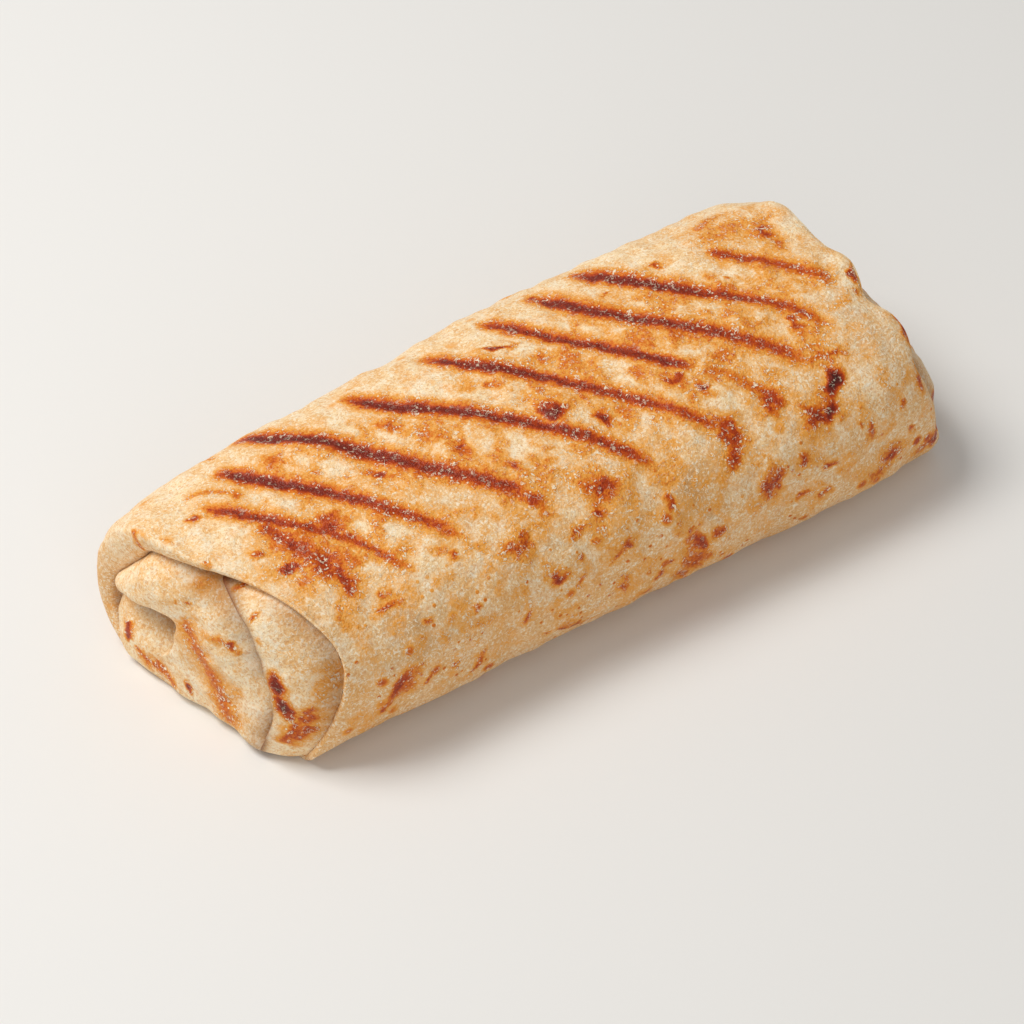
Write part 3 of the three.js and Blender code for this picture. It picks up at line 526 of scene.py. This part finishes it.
# Heat of a place from its marks, made ragged by two sizes of noise
GLOW_HEAT = 0.45            # toasting beside a grill line
UNDER_HEAT = 0.35           # what a burnt mark adds to the toasting under it
RAGGED_HEAT = 0.7
GRAINY_HEAT = 0.38
nodes, given, result = new_group(
    "Heat", {"Place": "place", "Toast": "value", "Grill": "value", "Glow": "value",
             "Scorch": "value"}, {"Heat": "value"})
patchy = nodes.noise(given["Place"], 190, 3.0, 0.6, 0.5)
ragged = nodes.noise(given["Place"], 800, 4.0, 0.65, 0.6)
grain = nodes.noise(given["Place"], 1800, 2.0, 0.6)
warm = nodes.times(given["Toast"], nodes.ramp(patchy, 0.3, 0.62, 0.25, 0.68, "LINEAR"))
warm = nodes.math("MAXIMUM", warm, nodes.times(given["Glow"], GLOW_HEAT))
strong = nodes.math("MAXIMUM", given["Grill"], given["Scorch"])
under = nodes.times(strong, UNDER_HEAT)
heat = nodes.math("MAXIMUM", strong, nodes.math("ADD", warm, under))
edge = nodes.ramp(heat, 0.03, 0.3)
for texture, strength in ((ragged, RAGGED_HEAT), (grain, GRAINY_HEAT)):
    uneven_heat = nodes.times(nodes.math("SUBTRACT", texture, 0.5), strength)
    heat = nodes.math("ADD", heat, nodes.times(edge, uneven_heat))
nodes.feed(result["Heat"], heat)
heat_of_place = nodes.tree

# Scorching: golden, orange, red-brown, maroon and nearly black as the heat grows
nodes, given, result = new_group("Scorching", {"Bread": "colour", "Heat": "value"},
                                 {"Colour": "colour"})
colour = given["Bread"]
for starts, full, shade in ((0.05, 0.3, (240, 164, 66)), (0.26, 0.5, (220, 112, 10)),
                            (0.46, 0.68, (180, 62, 2)), (0.64, 0.94, (124, 30, 4)),
                            (0.95, 1.25, (68, 20, 14))):
    colour = nodes.mix(nodes.ramp(given["Heat"], starts, full), colour, linear(*shade))
nodes.feed(result["Colour"], colour)
scorching = nodes.tree

# Round freckles where blisters touched the hot plate, and fine pores, both as heat
nodes, given, result = new_group("Freckles", {"Place": "place", "Amount": "value"},
                                 {"Heat": "value"})
distance, number = nodes.cells(given["Place"], 165)
spot = nodes.ramp(distance, 0.08, 0.42, 1.0, 0.0)
pick = nodes.ramp(number, 0.48, 0.66)
clump = nodes.ramp(nodes.noise(given["Place"], 70, 1.0), 0.4, 0.55, 0.3, 1.0)
large = nodes.times(nodes.times(spot, pick), clump)
distance, number = nodes.cells(given["Place"], 420)
pore = nodes.ramp(distance, 0.12, 0.28, 1.0, 0.0)
pore = nodes.times(pore, nodes.ramp(number, 0.52, 0.64))
both = nodes.math("MAXIMUM", nodes.times(large, 0.64), nodes.times(pore, 0.5))
nodes.feed(result["Heat"], nodes.times(both, given["Amount"]))
freckles = nodes.tree

# Pale threads of flour and dried bubbles, and pale dots, partly painted glints of highlight:
# short worm-like lines where a noise crosses its middle, and small round cells
nodes, given, result = new_group("Floury threads", {"Place": "place", "Heat": "value"},
                                 {"Mask": "value"})
curl = nodes.noise(given["Place"], 820, 1.0, 0.5, 1.2)
line = nodes.ramp(nodes.math("ABSOLUTE", nodes.math("SUBTRACT", curl, 0.5)), 0.02, 0.06, 1.0, 0.0)
cut = nodes.ramp(nodes.noise(given["Place"], 800, 1.0), 0.5, 0.6)
distance, number = nodes.cells(given["Place"], 760)
dot = nodes.ramp(distance, 0.13, 0.24, 1.0, 0.0)
dot = nodes.times(dot, nodes.ramp(number, 0.5, 0.6))
where = nodes.ramp(nodes.noise(given["Place"], 110, 2.0), 0.36, 0.6, 0.35, 1.0)
amount = nodes.ramp(given["Heat"], 0.05, 0.3, 0.55, 0.95)
amount = nodes.times(amount, nodes.ramp(given["Heat"], 0.6, 0.95, 1.0, 0.5))
mask = nodes.math("MAXIMUM", nodes.times(line, cut), dot)
mask = nodes.times(mask, nodes.times(where, amount))
nodes.feed(result["Mask"], mask)
floury_flecks_and_glints = nodes.tree

# Surface height: floury grain, short wrinkles and crisp little crumbs where it is toasted
nodes, given, result = new_group("Bread surface", {"Place": "place", "Heat": "value",
                                                   "Threads": "value"}, {"Height": "value"})
wrinkles = nodes.noise(given["Place"], 430, 4.0, 0.6, 0.8)
flour = nodes.noise(given["Place"], 1500, 3.0, 0.6)
height = nodes.math("ADD", nodes.times(wrinkles, 1.1), nodes.times(flour, 0.5))
height = nodes.math("ADD", height, nodes.times(given["Threads"], 0.35))
crisp = nodes.times(nodes.noise(given["Place"], 2400, 1.0, 0.5), 0.7)
crisp = nodes.times(crisp, nodes.ramp(given["Heat"], 0.15, 0.5))
height = nodes.math("ADD", height, crisp)
nodes.feed(result["Height"], height)
bread_surface = nodes.tree


def bread_material(name):
    """Flatbread: plain bread, then freckles and scorching over it, with a floury surface."""
    material = bpy.data.materials.new(name)
    material.use_nodes = True
    nodes = Nodes(material.node_tree)
    shader = material.node_tree.nodes["Principled BSDF"]
    place = nodes.add("ShaderNodeTexCoord").outputs["Object"]

    def group(tree, **values):
        node = nodes.add("ShaderNodeGroup", node_tree=tree)
        for socket, value in values.items():
            nodes.feed(node.inputs[socket], value)
        return node.outputs

    low = nodes.attribute("low")
    plain = group(plain_bread, Place=place, Thin=nodes.attribute("thin"), Low=low)["Colour"]
    heat = group(heat_of_place, Place=place, Toast=nodes.attribute("toast"),
                 Grill=nodes.attribute("grill"), Glow=nodes.attribute("glow"),
                 Scorch=nodes.attribute("scorch"))["Heat"]
    amount = nodes.ramp(low, 0.2, 0.7, 0.35, 1.0)
    heat = nodes.math("MAXIMUM", heat, group(freckles, Place=place, Amount=amount)["Heat"])
    flecks_and_glints = group(floury_flecks_and_glints, Place=place, Heat=heat)["Mask"]
    colour = group(scorching, Bread=plain, Heat=heat)["Colour"]
    # Pale flecks: partly floury threads, partly painted glints of highlight
    colour = nodes.mix(flecks_and_glints, colour, linear(255, 240, 210))
    # Painted shade: dark brown laid over the colour in creases, in the pocket and inside the lips
    colour = nodes.mix(nodes.attribute("crease"), colour, linear(124, 64, 24))
    nodes.feed(shader.inputs["Base Color"], colour)
    nodes.feed(shader.inputs["Roughness"], nodes.ramp(heat, 0.1, 0.8, 0.6, 0.36))
    bump = nodes.add("ShaderNodeBump")
    bump.inputs["Strength"].default_value = 0.7
    bump.inputs["Distance"].default_value = 0.0005
    surface = group(bread_surface, Place=place, Heat=heat, Threads=flecks_and_glints)["Height"]
    nodes.feed(bump.inputs["Height"], surface)
    nodes.feed(shader.inputs["Normal"], bump.outputs["Normal"])
    shader.inputs["Specular IOR Level"].default_value = 0.3
    return material


bread = bread_material("Grilled_flatbread")


def dress(piece):
    """Gives a piece the bread and its place on the one body, and hides the solid that it stands for."""
    piece.data.materials.append(bread)
    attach(piece, "root")
    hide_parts("wrap")


dress(outer_layer)


# --------------------------------------
# Near end: the ends of the bread were tucked in before the roll was closed. A lower fold
# slopes into an open pocket, an upper fold hangs over it, and a side fold lies over both.
# --------------------------------------
NEAR_FACE_X = -92.4         # the face of the folds is a slanted plane,
NEAR_FACE_SLANT = -0.265
DOME_POWER = 3.0            # which curves back to the rim like a dome
DOME_ROUND = 2.2
RIM_TUCK = 1.2
FLAT_BELOW_Z = 18.0
MOUTH_LIMIT = 1.02          # the folds reach a little into the lip
POCKET_DEPTH = 9.0
FOLD_DEPTH = 12.0
FOLD_BACK_SHARE = 0.82
FOLD_POINTS = 190           # along each side of a fold, closer together at the left and low
FOLD_CROWDING = 1.3         # sides, whose edges are rounded
UPPER_EDGE_RADIUS = 3.4
UPPER_ROLL = [(13, 22.5), (7, 26), (1, 28.5), (-6, 30.5), (-13, 31)]    # its crest, by (y, z)
UPPER_ROLL_RISE = 1.5
SIDE_EDGE_RADIUS = 1.3
CREASE_DEPTH = 1.1          # beside the edge of the side fold
CREASE_HALF = 1.1
BOTTOM_EDGE_RADIUS = 3.0
SIDE_FOLD_RISE = 2.0
LOW_BULGE = 0.55
TIP_BULGE = 3.4             # the folds' lowest corner rests on the plate as a soft round tip
TIP_Y = -32.0
TIP_Z = 3.0
TIP_HALF_Y = 8.0
TIP_HALF_Z = 9.0
LOW_BULGE_TOP_Z = 20.0      # the faces start to hang out below this height
UPPER_FOLD = dict(
    left=[(13.8, 21), (10.5, 19.5), (6.8, 20.6), (2.6, 21.5), (-1.8, 22.6), (-5, 23),
          (-6.3, 21.6), (-4.8, 17), (-3.8, 12.7), (-1.3, 9.3), (0, 4.6), (0, 0.6)],
    top=[(13.8, 21), (15.4, 25), (9.5, 34.5), (-0.4, 41), (-10, 43.5), (-22.4, 42)],
    right=[(-22.4, 42), (-30.1, 33), (-33.5, 20), (-36, 0.7)],
    bottom=[(0, 0.6), (-11.9, 0.6), (-23.3, 0.6), (-36, 0.7)])
SIDE_FOLD = dict(
    left=[(-8.5, 40), (-12, 38.8), (-15.5, 37.8), (-19.9, 36.4), (-23.5, 34.6), (-25.3, 32.8),
          (-27.5, 28.7), (-29.7, 24.1), (-31.1, 20.8), (-32.2, 17), (-32.8, 11), (-31.6, 5.2),
          (-30.6, 0.6)],
    top=[(-8.5, 40), (-15.1, 43), (-26.2, 43)],
    right=[(-26.2, 43), (-35.5, 38), (-42.5, 26), (-43, 14), (-39.5, 3.5)],
    bottom=[(-30.6, 0.6), (-36, 0.8), (-39.5, 3.5)])
LOWER_FOLD = dict(
    left=[(17, 23.5), (18, 14), (13.5, 6), (6, 0.6)],
    top=[(17, 23.5), (5.6, 23.5), (-8.9, 26)],
    right=[(-8.9, 26), (-7, 12), (-5, 0.6)],
    bottom=[(6, 0.6), (-0.3, 0.6), (-5, 0.6)])
# Marks on the folds by (y, z): toasted lines as on the outer layer, then spots
FOLD_LINES = [
    ([(-39.5, 18.9), (-37.9, 13.2), (-35.5, 6.1)], 0.75, 0.6, 0.66),
    ([(-39.3, 13), (-38.5, 11), (-37.2, 8)], 0.7, 0.6, 0.6),
    ([(-7.7, 26.8), (-10, 24.8), (-13.1, 20.8), (-15.9, 16.3), (-18.6, 11.3), (-20.4, 7), (-24.6, 3)],
     1.7, 0.5, 0.52),
    ([(6.2, 7.4), (2.6, 5), (-1.4, 5.6), (-4.3, 4.5), (-7.3, 4.2)], 0.8, 0.55, 0.5),
    ([(9.9, 11.8), (8.6, 6.8)], 0.6, 0.8, 0.8),
]
FOLD_SPOTS = [
    (-33.1, 22.4, 1.6, 3.2, 0.38, 1.05), (-35.1, 17, 1.6, 3.2, 0.38, 1.1),
    (-21.5, 27.2, 1.3, 1.2, 0, 0.8), (-18.9, 27.1, 2.6, 1.6, 0, 0.42), (-15.9, 26.4, 2.2, 1.8, 0, 0.3),
    (-22.9, 26, 1.8, 1.5, 0, 0.4), (-23.1, 13.4, 2.2, 2.4, 0, 0.32), (-11.2, 36.6, 3, 2, 0, 0.34),
    (-7.8, 31.4, 0.8, 0.7, 0, 0.5), (-10.2, 32, 0.8, 0.7, 0, 0.5), (-10, 6.2, 1, 1.7, 0.2, 1),
    (-25.1, 36.2, 0.7, 0.8, 0, 0.55), (-27.8, 32.3, 0.8, 1, 0, 0.3), (-17.1, 38.8, 1, 0.5, 0, 0.6),
    # The last is an orange-brown band beside the front rim: partly toasting, partly painted shade where
    # the side fold meets the rim
    (-39.5, 24, 1.5, 7, 0.1, 0.3),
]
# Painted shade: dark lines where one fold meets the next; the line by (y, z), and how strong
PAINTED_SHADE_LINES = [
    (SIDE_FOLD["left"][:7] + [(-29.3, 25)], 1.0),
    ([(-29.3, 25)] + SIDE_FOLD["left"][8:10] + [(-32.6, 11)], 0.5),
    ([(-32.6, 11), (-31.6, 5.2), (-30.6, 1)], 0.85),
]
# Painted shade beside fold edges, inside the near lip and in the pocket
EDGE_SHADE_HALF = 1.1       # mm, on the fold that lies over
UNDER_SHADE_HALF = 4.5      # mm, on the fold that lies under it
UNDER_SHADE = 0.5
RIM_SHADE = 0.45            # inside the lip, on the side that faces the viewer
POCKET_SHADE = 0.85


def mouth_share(rim, y, z):
    """Distance from the centre line as a share of the inner rim in that direction."""
    angle = np.arctan2(z - AXIS_Z, y - AXIS_Y)
    radius, x, thick = rim_at(rim, angle)
    return np.hypot(z - AXIS_Z, y - AXIS_Y) / (radius - thick), x, thick


def near_face(y, z):
    """x of the near face: a slanted plane that curves back to the rim like a shallow dome."""
    share, x, thick = mouth_share(NEAR_RIM, y, np.maximum(z, FLAT_BELOW_Z))
    edge = x + RIM_TUCK + LIP_SLOPE * thick
    plane = NEAR_FACE_X + NEAR_FACE_SLANT * y
    return edge + (plane - edge) * (1 - np.clip(share, 0, 1) ** DOME_POWER) ** (1 / DOME_ROUND)


def inside_mouth(rim, y, z, flat_below):
    """Pulls places that lie past the inner rim back to it."""
    share = mouth_share(rim, y, np.maximum(z, flat_below))[0]
    pull = np.minimum(1, MOUTH_LIMIT / share)
    return AXIS_Y + (y - AXIS_Y) * pull, np.where(z > flat_below, AXIS_Z + (z - AXIS_Z) * pull, z)


def along_side(side, share):
    """Point (y, z) at a share of the length of a smooth line through a few points."""
    side = np.asarray(side, float)
    steps = np.linalg.norm(np.diff(side, axis=0), axis=1)
    lengths = np.concatenate([[0], np.cumsum(steps)])
    return np.stack([smooth_through(share * lengths[-1], lengths, side[:, k]) for k in (0, 1)], -1)


def inside_fold(left, top, right, bottom, p, q):
    """Places (y, z) inside four sides: the two blends between opposite sides are added and
    the blend of the corners is taken away. p runs left to right, q top to bottom."""
    p, q = p[..., None], q[..., None]
    across = (1 - q) * along_side(top, p[..., 0]) + q * along_side(bottom, p[..., 0])
    down = (1 - p) * along_side(left, q[..., 0]) + p * along_side(right, q[..., 0])
    corners = ((1 - p) * (1 - q) * np.array(top[0]) + p * (1 - q) * np.array(top[-1])
               + (1 - p) * q * np.array(bottom[0]) + p * q * np.array(bottom[-1]))
    return across + down - corners


def from_rim(rim, y, z, flat_below):
    """Distance in from the inner rim."""
    share = mouth_share(rim, y, np.maximum(z, flat_below))[0]
    return np.hypot(y - AXIS_Y, z - AXIS_Z) * np.maximum(1 - share, 0)


def edge_drop(distance, radius):
    """How far a rounded edge has dropped at a distance from the outline: a circle's arc."""
    rest = np.clip(1 - distance / radius, 0, 1)
    return radius * (1 - np.sqrt(1 - rest ** 2))


def fold(outline, rim, flat_below, inward, face_x):
    """A thick fold: its face follows face_x over the outline, its back lies further in.
    face_x gets y, z, the distances from the left and bottom sides, p and q."""
    p = np.linspace(0, 1, FOLD_POINTS)[:, None] ** FOLD_CROWDING
    q = 1 - np.linspace(1, 0, FOLD_POINTS)[None, :] ** FOLD_CROWDING
    y, z = np.moveaxis(inside_fold(p=p, q=q, **outline), -1, 0)
    y, z = inside_mouth(rim, y, z, flat_below)
    across = np.hypot(np.diff(y, axis=0), np.diff(z, axis=0))
    from_left = np.concatenate([np.zeros((1, FOLD_POINTS)), np.cumsum(across, axis=0)])
    down = np.hypot(np.diff(y, axis=1), np.diff(z, axis=1))
    from_top = np.concatenate([np.zeros((FOLD_POINTS, 1)), np.cumsum(down, axis=1)], axis=1)
    from_bottom = from_top[:, -1:] - from_top
    face = np.stack([face_x(y, z, from_left, from_bottom, p, q), y, z], -1)
    far = np.full_like(y, 1e3)
    back = np.stack([face_x(y, z, far, far, p, q) + inward * FOLD_DEPTH,
                     AXIS_Y + (y - AXIS_Y) * FOLD_BACK_SHARE,
                     AXIS_Z + (z - AXIS_Z) * FOLD_BACK_SHARE], -1)
    return face, back, p, q


def fold_piece(name, face, back, inward):
    """Closes a fold's face and back with walls into one mesh."""
    index = np.arange(FOLD_POINTS ** 2).reshape(FOLD_POINTS, FOLD_POINTS)
    behind = index + FOLD_POINTS ** 2

    def quads(a, b, c, d):
        return np.stack([a.ravel(), b.ravel(), c.ravel(), d.ravel()], -1)

    faces = np.concatenate([
        quads(index[:-1, :-1], index[:-1, 1:], index[1:, 1:], index[1:, :-1]),
        quads(behind[:-1, :-1], behind[1:, :-1], behind[1:, 1:], behind[:-1, 1:]),
        quads(index[:-1, 0], index[1:, 0], behind[1:, 0], behind[:-1, 0]),
        quads(index[:-1, -1], behind[:-1, -1], behind[1:, -1], index[1:, -1]),
        quads(index[0, :-1], behind[0, :-1], behind[0, 1:], index[0, 1:]),
        quads(index[-1, :-1], index[-1, 1:], behind[-1, 1:], behind[-1, :-1])])
    if inward < 0:
        faces = faces[:, ::-1]
    points = np.concatenate([face.reshape(-1, 3), back.reshape(-1, 3)])
    return make_piece(name, points, faces.tolist())


def soft_step(t):
    """Smooth step from 0 to 1: 3 t squared minus 2 t cubed."""
    t = np.clip(t, 0, 1)
    return t * t * (3 - 2 * t)


def sag(y, z):
    """How far the folds hang out low down, most at the round tip that rests on the plate."""
    tip = np.exp(-((y - TIP_Y) / TIP_HALF_Y) ** 2 - ((z - TIP_Z) / TIP_HALF_Z) ** 2)
    return LOW_BULGE * np.clip(1 - z / LOW_BULGE_TOP_Z, 0, 1) + TIP_BULGE * tip


def uneven(y, z, seed):
    """Slight unevenness of a fold's face."""
    points = np.stack([y, z], -1)
    return 0.22 * waves(points, 13, seed) + 0.1 * waves(points, 5, seed + 1)


def pocket(p, q):
    """Depth of the pocket as a share: flush at the left and low edges of the lower fold,
    deepest in the corner under the upper fold."""
    return (0.1 + 0.4 * soft_step(p / 0.15) + 0.5 * soft_step(p) ** 0.8) * soft_step(1 - q / 0.7)


def lower_face(y, z, left, bottom, p, q):
    """Slopes into the pocket."""
    edges = 0.15 + edge_drop(bottom, BOTTOM_EDGE_RADIUS)
    return near_face(y, z) - sag(y, z) + POCKET_DEPTH * pocket(p, q) + edges + uneven(y, z, 31)


def upper_face(y, z, left, bottom, p, q):
    """A thick rounded roll above the pocket, whose edge thins out below it."""
    radius = 0.2 + (UPPER_EDGE_RADIUS - 0.2) * soft_step((0.86 - q) / 0.3)
    edges = edge_drop(left, radius) + edge_drop(bottom, BOTTOM_EDGE_RADIUS)
    places = np.stack([y, z], -1)
    gap, along = near_line(places, UPPER_ROLL)
    roll = UPPER_ROLL_RISE * np.exp(-(gap / 5) ** 2) * soft_step((1 - along) / 0.4)
    gap, along = near_line(places, SIDE_FOLD["left"])
    crease = CREASE_DEPTH * np.exp(-(gap / CREASE_HALF) ** 2) * soft_step((1 - along) / 0.2)
    return near_face(y, z) - sag(y, z) - roll + crease + edges + uneven(y, z, 31)


def side_face(y, z, left, bottom, p, q):
    """Lies on the upper fold, and runs into it at the lower tip."""
    rise = SIDE_FOLD_RISE * soft_step((z - TIP_Z) / 8)
    edges = edge_drop(left, 0.2 + SIDE_EDGE_RADIUS * rise / SIDE_FOLD_RISE)
    edges = edges + edge_drop(bottom, BOTTOM_EDGE_RADIUS)
    return near_face(y, z) - sag(y, z) - rise + edges + uneven(y, z, 31)


for name, outline, face_x in (("Lower_fold", LOWER_FOLD, lower_face),
                              ("Upper_fold", UPPER_FOLD, upper_face),
                              ("Side_fold", SIDE_FOLD, side_face)):
    face, back, p, q = fold(outline, NEAR_RIM, FLAT_BELOW_Z, 1, face_x)
    piece = fold_piece(name, face, back, 1)
    places = face[..., 1:]
    spots = places + 0.25 * waves(places, 3, 9)[..., None]
    grill, glow = burnt_lines(spots, FOLD_LINES)
    y, z = places[..., 0], places[..., 1]
    # Painted shade: inside the near lip on the front side, along the edges where folds meet, and deep in
    # the pocket
    front_side = soft_step((-y - 18) / 14)
    rim_gap = from_rim(NEAR_RIM, y, z, FLAT_BELOW_Z)
    crease = RIM_SHADE * front_side * np.exp(-rim_gap / EDGE_SHADE_HALF)
    for line, strength in PAINTED_SHADE_LINES:
        gap, _ = near_line(places, line)
        shade = np.exp(-(gap / EDGE_SHADE_HALF) ** 2)
        if name == "Upper_fold":
            shade = UNDER_SHADE * np.exp(-(gap / UNDER_SHADE_HALF) ** 2)
        crease = np.maximum(crease, strength * shade)
    # Painted shade: darker the deeper the pocket lies
    if name == "Lower_fold":
        crease = np.maximum(crease, POCKET_SHADE * soft_step((pocket(p, q) - 0.2) / 0.5))
    give_marks(piece, grill=grill, glow=glow, scorch=near_spots(spots, FOLD_SPOTS), crease=crease)
    dress(piece)


# --------------------------------------
# Far end: closed in the same way, one fold over another inside the wavy rim.
# --------------------------------------
FAR_FACE_X = 95.2
FAR_FACE_LEAN = 0.45
FAR_LEAN_Z = 20.0
FAR_BASE_FOLD = dict(
    left=[(26, 30), (29.5, 18), (25, 1)],
    top=[(26, 30), (13, 44), (-12, 44), (-28, 37)],
    right=[(-28, 37), (-36, 28), (-39, 18), (-35, 1)],
    bottom=[(25, 1), (0, 0.8), (-35, 1)])
FAR_SIDE_FOLD = dict(
    left=[(4, 42), (-1, 36), (-3, 28), (-8, 20), (-10, 10), (-16, 1)],
    top=[(4, 42), (-10, 44), (-25, 39)],
    right=[(-25, 39), (-36, 29), (-39, 19), (-36, 1)],
    bottom=[(-16, 1), (-26, 0.8), (-36, 1)])
FAR_SPOTS = [
    (-22, 26, 2.2, 1.6, 0, 0.75), (-12, 34, 1.3, 1.1, 0, 0.6), (14, 24, 2.4, 1.7, 0.4, 0.75),
    (8, 12, 1.3, 2.2, 0, 0.62), (-27, 12, 1.5, 2.4, 0.3, 0.68), (20, 10, 1.2, 1.2, 0, 0.55),
    (3, 31, 1, 1.4, 0, 0.58),
]
FAR_TOAST = [(-20, 25, 7, 5, 0, 0.85), (12, 18, 6, 8, 0, 0.75), (-27, 10, 5, 4, 0, 0.6),
             (-4, 38, 9, 3, 0, 0.6)]
# The far folds take the warmer, darker low tone too: partly their own tone, partly painted shade of ends
# turned from the light
FAR_WARMTH = 0.7            # tone of the bread, as low on the outer layer
# Painted shade at the far end, along the side fold's edge and in from the rim
FAR_EDGE_SHADE = 0.6
FAR_RIM_SHADE_HALF = 1.5    # mm


def far_face(y, z):
    """x of the far face: upright low down, leaning back higher up, curving in to the rim."""
    share, x, thick = mouth_share(FAR_RIM, y, z)
    edge = x - RIM_TUCK - LIP_SLOPE * thick
    plane = FAR_FACE_X - FAR_FACE_LEAN * np.maximum(0, z - FAR_LEAN_Z)
    return edge + (plane - edge) * (1 - np.clip(share, 0, 1) ** DOME_POWER) ** (1 / DOME_ROUND)


def far_base_face(y, z, left, bottom, p, q):
    """Lies against the filling."""
    return far_face(y, z) - edge_drop(bottom, BOTTOM_EDGE_RADIUS) + uneven(y, z, 51)


def far_side_face(y, z, left, bottom, p, q):
    """Lies over the base fold."""
    edges = edge_drop(left, SIDE_EDGE_RADIUS) + edge_drop(bottom, BOTTOM_EDGE_RADIUS)
    return far_face(y, z) + SIDE_FOLD_RISE - edges + uneven(y, z, 61)


for name, outline, face_x in (("Far_base_fold", FAR_BASE_FOLD, far_base_face),
                              ("Far_side_fold", FAR_SIDE_FOLD, far_side_face)):
    face, back, p, q = fold(outline, FAR_RIM, 0.0, -1, face_x)
    piece = fold_piece(name, face, back, -1)
    places = face[..., 1:]
    spots = places + 0.4 * waves(places, 4, 9)[..., None]
    # Painted shade along the side fold's edge and in from the rim
    gap, _ = near_line(places, FAR_SIDE_FOLD["left"])
    rim_gap = from_rim(FAR_RIM, places[..., 0], places[..., 1], 0.0)
    crease = np.maximum(FAR_EDGE_SHADE * np.exp(-(gap / EDGE_SHADE_HALF) ** 2),
                        RIM_SHADE * np.exp(-rim_gap / FAR_RIM_SHADE_HALF))
    give_marks(piece, scorch=near_spots(spots, FAR_SPOTS), toast=near_spots(spots, FAR_TOAST),
               low=np.full(face.shape[:2], FAR_WARMTH), crease=crease)
    dress(piece)


# --------------------------------------
# Studio: a pale matt floor, a large soft light from the upper left and a weaker one opposite.
# --------------------------------------
bpy.ops.mesh.primitive_plane_add(size=6)
floor = bpy.context.object
floor.name = "Floor"
paint = bpy.data.materials.new("Pale_floor")
paint.use_nodes = True
matt = paint.node_tree.nodes["Principled BSDF"].inputs
matt["Base Color"].default_value = (0.82, 0.81, 0.79, 1)
matt["Roughness"].default_value = 0.6
floor.data.materials.append(paint)

world = bpy.data.worlds.new("Studio")
bpy.context.scene.world = world
world.use_nodes = True
sky = world.node_tree.nodes["Background"].inputs
sky["Color"].default_value = (1.0, 0.99, 0.97, 1)
sky["Strength"].default_value = 0.36


def soft_light(name, place, size, power, colour=(1, 1, 1)):
    """A square area light that faces the wrap."""
    lamp = bpy.data.lights.new(name, "AREA")
    lamp.size = size
    lamp.energy = power
    lamp.color = colour
    light = bpy.data.objects.new(name, lamp)
    light.location = place
    light.rotation_euler = (-Vector(place)).to_track_quat("-Z", "Y").to_euler()
    bpy.context.collection.objects.link(light)


soft_light("Key_light", (-0.42, 0.4, 0.95), 0.5, 8.9, (1.0, 0.985, 0.96))
soft_light("Fill_light", (-0.5, -0.9, 0.5), 0.8, 2.0)
bpy.context.scene.view_settings.view_transform = "Standard"


# --------------------------------------
# Camera: as the photograph was taken, looking down at the near end and the front.
# --------------------------------------
VIEW_TARGET = Vector((-7.245 - CENTRE_X, -11.553 - CENTRE_Y, 15.0)) * MM
VIEW_AZIMUTH = np.radians(-33.5065)
VIEW_ELEVATION = np.radians(45.546)
VIEW_DISTANCE = 0.750
SENSOR_WIDTH = 36.0
FOCAL_PIXELS = 3351.11      # of a photograph PHOTO_WIDTH pixels wide
PHOTO_WIDTH = 1024
back_way = Vector((np.sin(VIEW_AZIMUTH) * np.cos(VIEW_ELEVATION),
                   -np.cos(VIEW_AZIMUTH) * np.cos(VIEW_ELEVATION), np.sin(VIEW_ELEVATION)))
lens = bpy.data.cameras.new("Camera")
lens.lens = FOCAL_PIXELS / PHOTO_WIDTH * SENSOR_WIDTH
lens.sensor_width = SENSOR_WIDTH
lens.clip_start = 0.01
camera = bpy.data.objects.new("Camera", lens)
camera.location = VIEW_TARGET + back_way * VIEW_DISTANCE
camera.rotation_euler = back_way.to_track_quat("Z", "Y").to_euler()
bpy.context.collection.objects.link(camera)
bpy.context.scene.camera = camera
